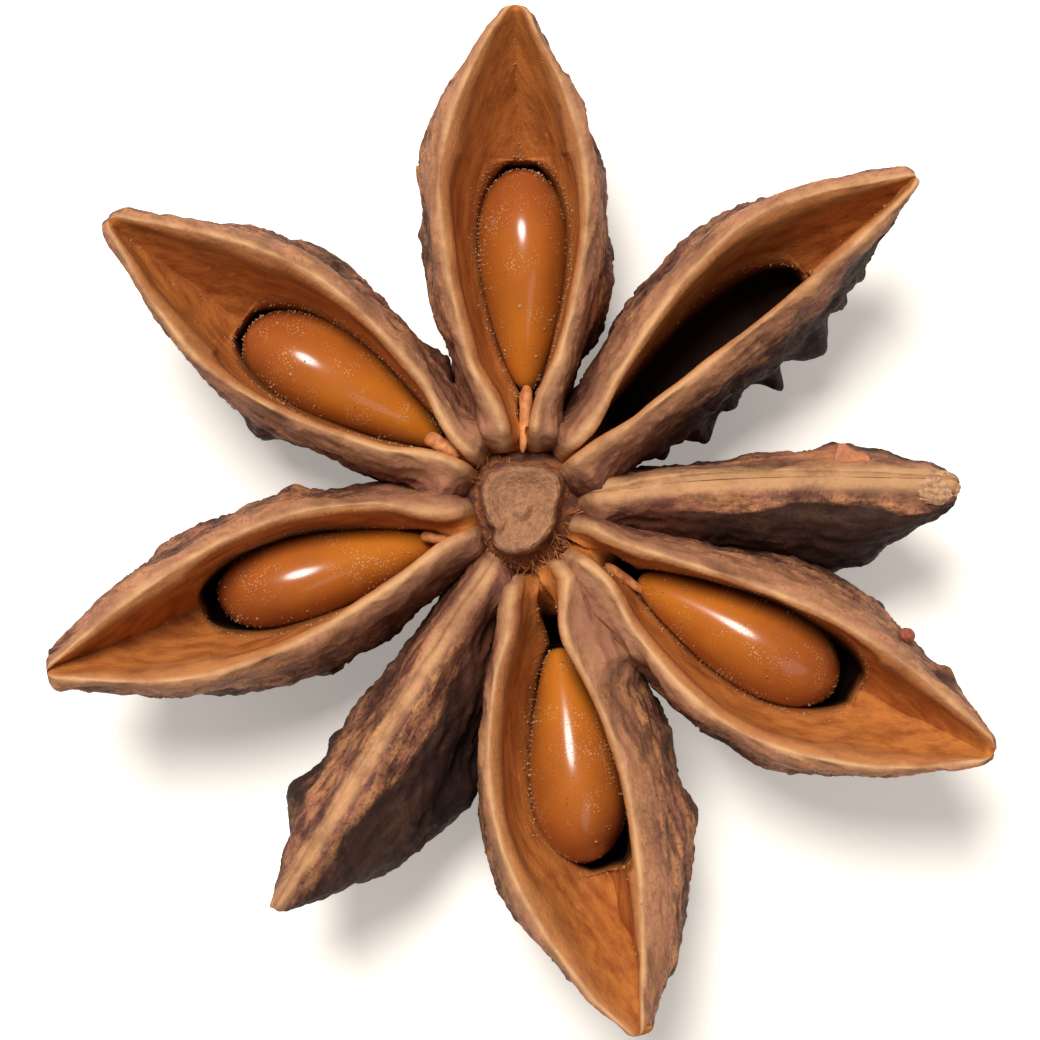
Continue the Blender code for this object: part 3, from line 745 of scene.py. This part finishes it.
def lump_grid(centre, radii, roughness, size, seed, segments, rings):
    """Give an uneven ball that is pressed to three radii."""
    polar = np.linspace(0, math.pi, rings + 1)[:, None]
    turn = np.arange(segments)[None, :] / segments * math.tau
    across = np.sin(polar)
    unit = np.stack([np.cos(polar) + 0 * turn, across * np.cos(turn), across * np.sin(turn)], axis=-1)
    uneven = grain(unit.reshape(-1, 3) * radii, size, seed).reshape(unit.shape[:2])
    return np.array(centre) + unit * radii * (1 + roughness * uneven[..., None])


SCAB_SEGMENTS, SCAB_RINGS = 128, 96
KNOB_SEGMENTS, KNOB_RINGS = 64, 44
AZIMUTHS = {carpel["name"]: carpel["azimuth"] for carpel in CARPELS}
scab = fresh_ball("scab", SCAB_SEGMENTS, SCAB_RINGS)
scab_radii, scab_strands = (0.82, 0.62, 0.30), (0.42, 0.11, 0.11)
places = lump_grid((14.90, 0.0, 8.42), scab_radii, 0.11, scab_strands, 71, SCAB_SEGMENTS, SCAB_RINGS)
fill(scab, SCAB_SEGMENTS, SCAB_RINGS, places, AZIMUTHS["east"])
scab.data.shade_smooth()
knob = fresh_ball("knob", KNOB_SEGMENTS, KNOB_RINGS)
places = lump_grid((14.35, 2.32, 7.7), (0.30, 0.26, 0.26), 0.15, 0.15, 72, KNOB_SEGMENTS, KNOB_RINGS)
fill(knob, KNOB_SEGMENTS, KNOB_RINGS, places, AZIMUTHS["southeast"])
knob.data.shade_smooth()
print(len(stub_pieces), "stalk stubs, a scab and a knob")

# %% The flake of bark that stands up
bpy.ops.object.select_all(action="DESELECT")
bpy.ops.mesh.primitive_grid_add(x_subdivisions=26, y_subdivisions=12, size=2.0)
flake = bpy.context.object
flake.name = "flake"
spots = np.array([tuple(vertex.co) for vertex in flake.data.vertices])
ragged = grain(np.c_[spots[:, 0] * 3, 0 * spots[:, 0], 0 * spots[:, 0]], 1.0, 81)
rise = (spots[:, 1] + 1) / 2 * (0.95 + 0.14 * ragged)
wave = grain(spots, (0.8, 0.9, 1.0), 82)
crest = 0.85 - 0.26 * (spots[:, 0] + 1)
shape = np.stack([
    11.95 + 0.68 * spots[:, 0] * (1 - 0.12 * (spots[:, 1] + 1)) + 0.07 * wave,
    0.98 + crest * rise + 0.04 * wave,
    7.95 - 0.25 * rise + 0.06 * wave,
], axis=1)
flake.data.vertices.foreach_set("co", (in_pod(shape, AZIMUTHS["east"]) * MM).ravel())
solid = flake.modifiers.new("thickness", "SOLIDIFY")
solid.thickness = 0.09 * MM
solid.offset = 0.0
bpy.ops.object.modifier_apply(modifier=solid.name)
flake.data.shade_smooth()
flake.data.set_sharp_from_angle(angle=math.radians(50))
print("the flake has", len(flake.data.polygons), "faces")

# %% [markdown]
# ## Dust and fibres
# Pale, sandy dust has gathered where the walls meet the seeds, down the middle of the beaks and over
# the seeds themselves. One tiny ball is modelled and then copied thousands of times into one mesh,
# each copy a little squashed. The torn fibres by the column are one thin spindle, copied the same way.

# %% Scatter copies of a small shape
luck = np.random.default_rng(8)


def small_shape():
    """Model one small ball, and give its corners and faces."""
    bpy.ops.object.select_all(action="DESELECT")
    bpy.ops.mesh.primitive_ico_sphere_add(subdivisions=1, radius=1.0)
    ball = bpy.context.object
    corners = np.array([tuple(vertex.co) for vertex in ball.data.vertices])
    faces = np.array([tuple(face.vertices) for face in ball.data.polygons])
    bpy.data.objects.remove(ball, do_unlink=True)
    return corners, faces


def scatter(name, centres, frames):
    """Copy the small ball to every centre, each in its own frame of three stretched directions."""
    corners, faces = small_shape()
    spots = centres[:, None, :] + np.einsum("ck,nkj->ncj", corners, frames)
    lists = faces[None] + len(corners) * np.arange(len(centres))[:, None, None]
    mesh = bpy.data.meshes.new(name)
    mesh.from_pydata((spots.reshape(-1, 3) * MM).tolist(), [], lists.reshape(-1, 3).tolist())
    piece = bpy.data.objects.new(name, mesh)
    bpy.context.scene.collection.objects.link(piece)
    mesh.shade_smooth()
    return piece


def pick(places, weight, count):
    """Pick places off a grid at random, as often as their weight says."""
    flat = (weight / weight.sum()).ravel()
    chosen = luck.choice(len(flat), size=count, p=flat)
    return places.reshape(-1, 3)[chosen]


GRAINS_ON_SEED, GRAINS_IN_CARPEL = 900, 800
GRAIN_RADIUS, GRAIN_LEAST, GRAIN_MOST = 0.02, 0.008, 0.05  # in mm
RIM_STATIONS = (9.8, 15.2)  # where the walls meet the seed, on the right and on the left
gathered = []
for carpel, places in seed_grids:
    share = np.linspace(0, 1, places.shape[0])[:, None]
    turn = np.arange(places.shape[1])[None, :] / places.shape[1] * math.tau
    beside_wall = (np.sin(turn) > -0.1) * (0.10 + np.abs(np.cos(turn)) ** 6)
    weight = beside_wall * np.sin(math.pi * share) ** 0.5
    weight = weight * (1.3 - 0.6 * share)
    weight = weight * smoothstep(-0.3, 0.5, grain(places.reshape(-1, 3), 1.1, 90)).reshape(weight.shape)
    gathered.append(in_pod(pick(places, weight, GRAINS_ON_SEED), carpel["azimuth"]))
for (places, masks), carpel in zip(carpel_grids, CARPELS):
    if carpel["shut"]:
        continue
    end_x = carpel["pocket"]["end"][0] + END_ROOM[carpel["name"]]
    x = places[..., 0]
    rim = np.min([np.abs(STATIONS - station) for station in RIM_STATIONS], axis=0)[None, :]
    by_seed = np.exp(-((rim / 0.45) ** 2)) * (x > 3.5) * (x < end_x + 0.2)
    in_fold = np.exp(-(((STATIONS[None, :] - FLOOR_STATION) / 3.0) ** 2))
    crease = in_fold * (x > end_x + 0.1) * (x < carpel["reach"] - 1.0) * 0.1
    floor_weight = (by_seed + crease) * (masks["deep"] < 0.3) + 1e-9
    gathered.append(in_pod(pick(places, floor_weight, GRAINS_IN_CARPEL), carpel["azimuth"]))
centres = np.concatenate(gathered) + luck.normal(0, 0.02, (sum(map(len, gathered)), 3))
sizes = np.clip(luck.lognormal(math.log(GRAIN_RADIUS), 0.45, len(centres)), GRAIN_LEAST, GRAIN_MOST)
frames = np.eye(3)[None] * sizes[:, None, None] * luck.uniform(0.6, 1.3, (len(centres), 3))[:, :, None]
frames = frames + luck.normal(0, 0.25, frames.shape) * sizes[:, None, None]
dust_piece = scatter("dust", centres, frames)
print(len(centres), "grains of dust")

# %% Fibres torn off round the column
FIBRES = 170
FIBRE_WIDTH, FIBRE_THICKNESS = 0.035, 0.03  # half of each, in mm
on_lower_side = luck.uniform(0, 1, FIBRES) < 0.7
turn = np.where(on_lower_side, luck.uniform(215, 345, FIBRES), luck.uniform(0, 360, FIBRES))
turn = np.radians(turn)
away_from_axis = luck.uniform(1.5, 2.4, FIBRES)
centres = np.stack([
    away_from_axis * np.cos(turn) + AXIS.x,
    away_from_axis * np.sin(turn) + AXIS.y,
    luck.uniform(6.3, 7.0, FIBRES),
], axis=1)
run = np.stack([
    np.cos(turn + luck.normal(0, 0.7, FIBRES)),
    np.sin(turn + luck.normal(0, 0.7, FIBRES)),
    luck.normal(0.0, 0.3, FIBRES),
], axis=1)
run /= np.linalg.norm(run, axis=1, keepdims=True)
across = np.cross(run, (0.0, 0.0, 1.0))
across /= np.linalg.norm(across, axis=1, keepdims=True)
half_lengths = luck.uniform(0.15, 0.45, (FIBRES, 1))
up = np.cross(run, across)
frames = np.stack([run * half_lengths, across * FIBRE_WIDTH, up * FIBRE_THICKNESS], axis=1)
fibre_piece = scatter("fibres", centres, frames)
print(FIBRES, "fibres")

# %% [markdown]
# ## Finishes shared by the pieces
# Dust, fine grain and mottling turn up on several materials, so each is a node group that is built
# once. A group only gives masks and values. The shader itself stays in each material.

# %% Node helpers
def plug(tree, made, **sources):
    """Link or set a node's inputs. A name has _ for a space, and n0 is the input with the number 0."""
    for key, value in sources.items():
        by_number = key[0] == "n" and key[1:].isdigit()
        socket = made.inputs[int(key[1:]) if by_number else key.replace("_", " ")]
        if isinstance(value, bpy.types.NodeSocket):
            tree.links.new(value, socket)
        else:
            socket.default_value = value
    return made


def new_group(name, inputs, outputs):
    """Start a shader node group with named float, vector or colour sockets."""
    group = bpy.data.node_groups.new(name, "ShaderNodeTree")
    for label, kind, value in inputs:
        socket = group.interface.new_socket(label, in_out="INPUT", socket_type=kind)
        if value is not None:
            socket.default_value = value
    for label, kind in outputs:
        group.interface.new_socket(label, in_out="OUTPUT", socket_type=kind)
    return group, group.nodes.new("NodeGroupInput"), group.nodes.new("NodeGroupOutput")


def noise_at(tree, vector, scale, detail=4.0, roughness=0.55):
    """Add smooth noise; scale is its number of bumps for each mm."""
    made = tree.nodes.new("ShaderNodeTexNoise")
    plug(tree, made, Vector=vector, Scale=scale, Detail=detail, Roughness=roughness)
    return made.outputs["Fac"]


def ramp_to(tree, value, low, high, to_low=0.0, to_high=1.0):
    """Stretch a value so that low and high become to_low and to_high, and stop there."""
    made = tree.nodes.new("ShaderNodeMapRange")
    made.clamp = True
    plug(tree, made, Value=value, From_Min=low, From_Max=high, To_Min=to_low, To_Max=to_high)
    return made.outputs["Result"]


def reckon(tree, operation, first, second):
    """Add one step of arithmetic on two values."""
    made = tree.nodes.new("ShaderNodeMath")
    made.operation = operation
    plug(tree, made, n0=first, n1=second)
    return made.outputs[0]


def mix_colors(tree, factor, first, second):
    """Go from the first colour at 0 to the second at 1."""
    made = tree.nodes.new("ShaderNodeMix")
    made.data_type = "RGBA"
    plug(tree, made, n0=factor, n6=first, n7=second)
    return made.outputs[2]


def place_in_mm(tree):
    """Read a piece's own coordinates, in millimetres."""
    place = tree.nodes.new("ShaderNodeTexCoord").outputs["Object"]
    in_mm = tree.nodes.new("ShaderNodeMapping")
    plug(tree, in_mm, Vector=place, Scale=(1 / MM, 1 / MM, 1 / MM))
    return in_mm.outputs["Vector"]


print("helpers ready")

# %% The groups: dust specks, and mottled bark
dust_group, given, gives = new_group(
    "dust specks",
    (
        ("Place", "NodeSocketVector", None),
        ("Specks per mm", "NodeSocketFloat", 9.0),
        ("Amount", "NodeSocketFloat", 0.5),
    ),
    (("Mask", "NodeSocketFloat"),),
)
cells = dust_group.nodes.new("ShaderNodeTexVoronoi")
plug(dust_group, cells, Vector=given.outputs["Place"], Scale=given.outputs["Specks per mm"])
patches = noise_at(dust_group, given.outputs["Place"], 0.9, 3.0)
speck_size = reckon(dust_group, "MULTIPLY", ramp_to(dust_group, patches, 0.35, 0.7), given.outputs["Amount"])
speck_size = reckon(dust_group, "MULTIPLY", speck_size, 0.5)
speck = reckon(dust_group, "SUBTRACT", speck_size, cells.outputs["Distance"])
dust_group.links.new(ramp_to(dust_group, speck, 0.0, 0.08), gives.inputs["Mask"])

mottle_group, given, gives = new_group(
    "mottled bark",
    (("Place", "NodeSocketVector", None),),
    (("Broad", "NodeSocketFloat"), ("Streaks", "NodeSocketFloat"), ("Strands", "NodeSocketFloat"),
     ("Fine", "NodeSocketFloat"), ("Height", "NodeSocketFloat")),
)
stretched = mottle_group.nodes.new("ShaderNodeMapping")
plug(mottle_group, stretched, Vector=given.outputs["Place"], Scale=(0.35, 1.0, 1.0))
broad = noise_at(mottle_group, given.outputs["Place"], 0.55, 4.0, 0.6)
streaks = noise_at(mottle_group, stretched.outputs["Vector"], 1.7, 5.0, 0.62)
shifted = mottle_group.nodes.new("ShaderNodeMapping")
plug(mottle_group, shifted, Vector=given.outputs["Place"], Location=(31.0, 7.0, 3.0), Scale=(0.4, 1.2, 1.2))
strands = noise_at(mottle_group, shifted.outputs["Vector"], 2.2, 4.0, 0.6)
fine = noise_at(mottle_group, given.outputs["Place"], 6.0, 5.0, 0.7)
coarse_part = reckon(mottle_group, "MULTIPLY", streaks, 0.6)
fine_part = reckon(mottle_group, "MULTIPLY", fine, 0.4)
height = reckon(mottle_group, "ADD", coarse_part, fine_part)
made_here = {"Broad": broad, "Streaks": streaks, "Strands": strands, "Fine": fine, "Height": height}
for label, value in made_here.items():
    mottle_group.links.new(value, gives.inputs[label])
print("groups:", dust_group.name, "and", mottle_group.name)

# %% [markdown]
# ## The husk's material
# Bark outside, caramel inside, and a pale worn band along the lips. Painted shade darkens the bark in its
# wrinkles and down its flanks, and near-black painted shade fills the depths of the pockets. The masks
# that were worked out with the shape say which is which, so each carpel carries them as attributes,
# with its own lengthwise coordinates for the streaks.

# %% Helpers for materials
def new_material(name):
    """Start a material with its one shader."""
    material = bpy.data.materials.new(name)
    material.use_nodes = True
    tree = material.node_tree
    return material, tree, tree.nodes["Principled BSDF"]


def use_group(tree, group, **sources):
    """Place one of the groups in a material."""
    made = tree.nodes.new("ShaderNodeGroup")
    made.node_tree = group
    return plug(tree, made, **sources)


def attribute(tree, name, output="Fac"):
    """Read a mask that a piece carries."""
    made = tree.nodes.new("ShaderNodeAttribute")
    made.attribute_name = name
    return made.outputs[output]


def bump_from(tree, height, distance_mm, strength):
    """Give fine relief to a finish."""
    made = tree.nodes.new("ShaderNodeBump")
    plug(tree, made, Height=height, Distance=distance_mm * MM, Strength=strength)
    return made.outputs["Normal"]


print("helpers for materials ready")

# %% The husk's material, node by node
husk_material, tree, shader = new_material("husk bark")
lay = attribute(tree, "lay", "Vector")
mottle = use_group(tree, mottle_group, Place=lay)
inner, lip, deep, relief, low, near, rust = (
    attribute(tree, name) for name in ("inner", "lip", "deep", "relief", "low", "near", "rust")
)

# The third colour here is near black, for dark spots of the bark and for painted shade.
MAUVE, OCHRE, NEAR_BLACK_SPOTS_AND_SHADE = (0.38, 0.144, 0.078, 1), (0.54, 0.24, 0.088, 1), (0.018, 0.007, 0.006, 1)
PURPLE, WINE = (0.135, 0.045, 0.032, 1), (0.115, 0.036, 0.020, 1)
RUST = (0.46, 0.165, 0.072, 1)
ROSY, TAN = (0.42, 0.172, 0.104, 1), (0.52, 0.235, 0.092, 1)
CARAMEL, CARAMEL_DARK = (0.50, 0.165, 0.034, 1), (0.29, 0.075, 0.016, 1)
LIP_PALE, LIP_BROWN = (0.62, 0.33, 0.145, 1), (0.36, 0.16, 0.07, 1)
# Near black, for the painted shade in the depths of the pockets.
POCKET_SHADE = (0.012, 0.005, 0.003, 1)

bark = mix_colors(tree, ramp_to(tree, mottle.outputs["Streaks"], 0.43, 0.6), MAUVE, OCHRE)
bark = mix_colors(tree, ramp_to(tree, mottle.outputs["Strands"], 0.45, 0.58, 0.0, 0.85), bark, PURPLE)
bark = mix_colors(tree, reckon(tree, "MULTIPLY", near, 0.5), bark, PURPLE)
# The colour of dark spots and of painted shade: wine-brown by the column, near black further out.
dark_spots_and_shade = mix_colors(tree, near, NEAR_BLACK_SPOTS_AND_SHADE, WINE)
# Painted shade in the valleys of the bark's wrinkles.
bark = mix_colors(tree, ramp_to(tree, relief, 0.05, -0.2, 0.0, 0.9), bark, dark_spots_and_shade)
bark = mix_colors(tree, ramp_to(tree, mottle.outputs["Fine"], 0.5, 0.66, 0.0, 0.7), bark, dark_spots_and_shade)
worn = mix_colors(tree, ramp_to(tree, mottle.outputs["Strands"], 0.4, 0.62), ROSY, TAN)
worn = mix_colors(tree, ramp_to(tree, mottle.outputs["Streaks"], 0.52, 0.66, 0.0, 0.6), worn, PURPLE)
edge = reckon(tree, "ADD", low, ramp_to(tree, mottle.outputs["Broad"], 0.3, 0.7, -0.12, 0.12))
bark = mix_colors(tree, ramp_to(tree, edge, 0.02, 0.22, 0.42, 0.0), bark, worn)
bark = mix_colors(tree, reckon(tree, "MULTIPLY", rust, 0.85), bark, RUST)
# Painted shade: the bark darkens on its way down the flanks, and sooner on a few flanks chosen one by one.
shade = reckon(tree, "ADD", low, ramp_to(tree, mottle.outputs["Broad"], 0.3, 0.7, -0.22, 0.22))
bark = mix_colors(tree, ramp_to(tree, shade, 0.2, 0.55, 0.0, 0.92), bark, dark_spots_and_shade)
inside = mix_colors(tree, ramp_to(tree, mottle.outputs["Streaks"], 0.4, 0.68), CARAMEL, CARAMEL_DARK)
pale = mix_colors(tree, ramp_to(tree, mottle.outputs["Broad"], 0.42, 0.66), LIP_PALE, LIP_BROWN)
color = mix_colors(tree, inner, bark, inside)
color = mix_colors(tree, lip, color, pale)
# Painted shade: the pockets' depths turn near black.
color = mix_colors(tree, ramp_to(tree, deep, 0.1, 0.9, 0.0, 0.95), color, POCKET_SHADE)
tree.links.new(color, shader.inputs["Base Color"])
tree.links.new(ramp_to(tree, mottle.outputs["Fine"], 0.3, 0.7, 0.55, 0.8), shader.inputs["Roughness"])
shader.inputs["Specular IOR Level"].default_value = 0.18
tree.links.new(bump_from(tree, mottle.outputs["Height"], 0.12, 0.8), shader.inputs["Normal"])
for piece in carpel_pieces:
    piece.data.materials.append(husk_material)
print("husk material has", len(tree.nodes), "nodes")

# %% [markdown]
# ## The column's and the seeds' materials
# The column's broken head is plain dry wood, a shade lighter than the bark. The seed coat is a deep
# orange-brown under a clear, hard skin, so it gets a coat layer over a softer base.

# %% The column's wood
WOOD_PALE, WOOD_BROWN, WOOD_STAIN = (0.46, 0.21, 0.095, 1), (0.24, 0.10, 0.045, 1), (0.26, 0.11, 0.06, 1)
TISSUE = (0.36, 0.115, 0.032, 1)  # the orange tissue below the head
column_material, tree, shader = new_material("column wood")
in_mm = place_in_mm(tree)
mottle = use_group(tree, mottle_group, Place=in_mm)
wood = mix_colors(tree, ramp_to(tree, mottle.outputs["Fine"], 0.4, 0.7), WOOD_PALE, WOOD_BROWN)
wood = mix_colors(tree, ramp_to(tree, mottle.outputs["Broad"], 0.45, 0.7, 0.0, 0.5), wood, WOOD_STAIN)
parts = tree.nodes.new("ShaderNodeSeparateXYZ")
plug(tree, parts, Vector=in_mm)
tissue = mix_colors(tree, ramp_to(tree, mottle.outputs["Strands"], 0.42, 0.6), TISSUE, WINE)
wood = mix_colors(tree, ramp_to(tree, parts.outputs["Z"], 7.7, 7.1, 0.0, 1.0), wood, tissue)
tree.links.new(wood, shader.inputs["Base Color"])
shader.inputs["Roughness"].default_value = 0.75
tree.links.new(bump_from(tree, mottle.outputs["Fine"], 0.15, 0.9), shader.inputs["Normal"])
column.data.materials.append(column_material)
print("column material has", len(tree.nodes), "nodes")

# %% The coat of the seeds
AMBER, CHESTNUT, SAND = (0.48, 0.138, 0.012, 1), (0.32, 0.077, 0.016, 1), (0.60, 0.32, 0.15, 1)
seed_material, tree, shader = new_material("seed coat")
in_mm = place_in_mm(tree)
mottle = use_group(tree, mottle_group, Place=in_mm)
uneven = ramp_to(tree, mottle.outputs["Broad"], 0.35, 0.65, -0.15, 0.15)
along_seed = reckon(tree, "ADD", attribute(tree, "ripe"), uneven)
coat = mix_colors(tree, ramp_to(tree, along_seed, 0.1, 0.95), AMBER, CHESTNUT)
dust = use_group(tree, dust_group, Place=in_mm, Specks_per_mm=11.0, Amount=0.8)
coat = mix_colors(tree, reckon(tree, "MULTIPLY", dust.outputs["Mask"], 0.7), coat, SAND)
tree.links.new(coat, shader.inputs["Base Color"])
tree.links.new(ramp_to(tree, dust.outputs["Mask"], 0.0, 1.0, 0.32, 0.8), shader.inputs["Roughness"])
shader.inputs["Specular IOR Level"].default_value = 0.12
tree.links.new(ramp_to(tree, dust.outputs["Mask"], 0.0, 1.0, 0.9, 0.0), shader.inputs["Coat Weight"])
shader.inputs["Coat Roughness"].default_value = 0.2
tree.links.new(bump_from(tree, mottle.outputs["Fine"], 0.01, 0.3), shader.inputs["Normal"])
for piece, _ in seed_pieces:
    piece.data.materials.append(seed_material)
print("seed material has", len(tree.nodes), "nodes")

# %% Materials of the small pieces
def plain_finish(name, first, second, scale, roughness, distance_mm):
    """Make a dry finish of two mixed tones with a fine relief."""
    material, tree, shader = new_material(name)
    tone = noise_at(tree, place_in_mm(tree), scale, 4.0, 0.65)
    color = mix_colors(tree, ramp_to(tree, tone, 0.35, 0.65), first, second)
    tree.links.new(color, shader.inputs["Base Color"])
    shader.inputs["Roughness"].default_value = roughness
    shader.inputs["Specular IOR Level"].default_value = 0.2
    tree.links.new(bump_from(tree, tone, distance_mm, 0.8), shader.inputs["Normal"])
    return material


finishes = (
    (stub_pieces, plain_finish("seed stalk", (0.66, 0.26, 0.085, 1), (0.34, 0.10, 0.028, 1), 2.5, 0.5, 0.06)),
    ([dust_piece], plain_finish("sandy dust", (0.46, 0.25, 0.115, 1), (0.30, 0.13, 0.05, 1), 1.5, 0.9, 0.01)),
    ([fibre_piece], plain_finish("torn fibre", (0.42, 0.15, 0.05, 1), (0.20, 0.06, 0.02, 1), 2.0, 0.8, 0.02)),
    ([scab], plain_finish("scab", (0.58, 0.33, 0.17, 1), (0.28, 0.13, 0.07, 1), 6.0, 0.85, 0.1)),
    ([flake], plain_finish("flake", (0.50, 0.185, 0.08, 1), (0.34, 0.12, 0.06, 1), 3.0, 0.8, 0.05)),
    ([knob], plain_finish("knob", (0.34, 0.09, 0.045, 1), (0.18, 0.05, 0.03, 1), 6.0, 0.6, 0.05)),
)
for pieces, material in finishes:
    for piece in pieces:
        piece.data.materials.append(material)
print(len(finishes), "finishes for the small pieces")

# %% [markdown]
# ## Riding on the frame
# The carpels and the column together stand for the husk, and each seed stands for its own node.

# %% Tie every piece to the plain model
for piece in (*carpel_pieces, column):
    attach(piece, "root")
    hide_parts("husk")
for piece in (*stub_pieces, dust_piece, fibre_piece, scab, flake, knob):
    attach(piece, "root")
for piece, node in seed_pieces:
    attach(piece, "root")
    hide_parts(node)
low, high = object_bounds()
print("dressed size", [round((b - a) * 1000, 2) for a, b in zip(low, high)], "mm")

# %% [markdown]
# ## The stage
# A wide white table, one soft window-like light from the upper left, and a weaker, larger one from
# the lower right. The camera looks straight down.

# %% The table
TABLE_BELOW = 0.00002  # in metres, so that the table and the pod's flat spots don't flicker
bpy.ops.object.select_all(action="DESELECT")
bpy.ops.mesh.primitive_plane_add(size=3.0, location=(0, 0, -TABLE_BELOW))
floor = bpy.context.object
floor.name = "table"
floor_material, tree, shader = new_material("white table")
shader.inputs["Base Color"].default_value = (0.93, 0.86, 0.78, 1)
shader.inputs["Roughness"].default_value = 0.9
shader.inputs["Specular IOR Level"].default_value = 0.1
shader.inputs["Emission Color"].default_value = (1.0, 0.93, 0.86, 1)
shader.inputs["Emission Strength"].default_value = 0.31
floor.data.materials.append(floor_material)
print("the table is", round(floor.dimensions.x, 1), "m wide")

# %% The lights
def add_light(name, off_vertical, azimuth, distance, size, power):
    """Hang a round soft light that looks at the pod."""
    direction = Vector((
        math.sin(math.radians(off_vertical)) * math.cos(math.radians(azimuth)),
        math.sin(math.radians(off_vertical)) * math.sin(math.radians(azimuth)),
        math.cos(math.radians(off_vertical)),
    ))
    data = bpy.data.lights.new(name, "AREA")
    data.shape = "DISK"
    data.size = size
    data.energy = power
    lamp = bpy.data.objects.new(name, data)
    bpy.context.scene.collection.objects.link(lamp)
    lamp.location = direction * distance
    lamp.rotation_euler = direction.to_track_quat("Z", "Y").to_euler()


add_light("window", off_vertical=25.0, azimuth=112.0, distance=1.0, size=0.45, power=13.6)
add_light("far wall", off_vertical=52.0, azimuth=-48.0, distance=1.0, size=0.9, power=2.0)
world = bpy.data.worlds.new("room")
bpy.context.scene.world = world
world.use_nodes = True
world.node_tree.nodes["Background"].inputs["Color"].default_value = (1.0, 0.98, 0.96, 1)
world.node_tree.nodes["Background"].inputs["Strength"].default_value = 0.18
world.cycles_visibility.glossy = False
print("two lights and the room's own")

# %% The camera
CAMERA_HEIGHT = 0.2153  # in metres
camera_data = bpy.data.cameras.new("camera")
camera_data.lens = 200.0
camera_data.sensor_width = 36.0
camera_data.clip_start = 0.01
camera = bpy.data.objects.new("camera", camera_data)
bpy.context.scene.collection.objects.link(camera)
camera.location = (0.0, 0.00003, CAMERA_HEIGHT)
camera.rotation_euler = (0, 0, 0)
bpy.context.scene.camera = camera
bpy.context.scene.view_settings.view_transform = "Standard"
bpy.context.scene.view_settings.exposure = 0.0
print("camera", [round(value, 4) for value in camera.location])
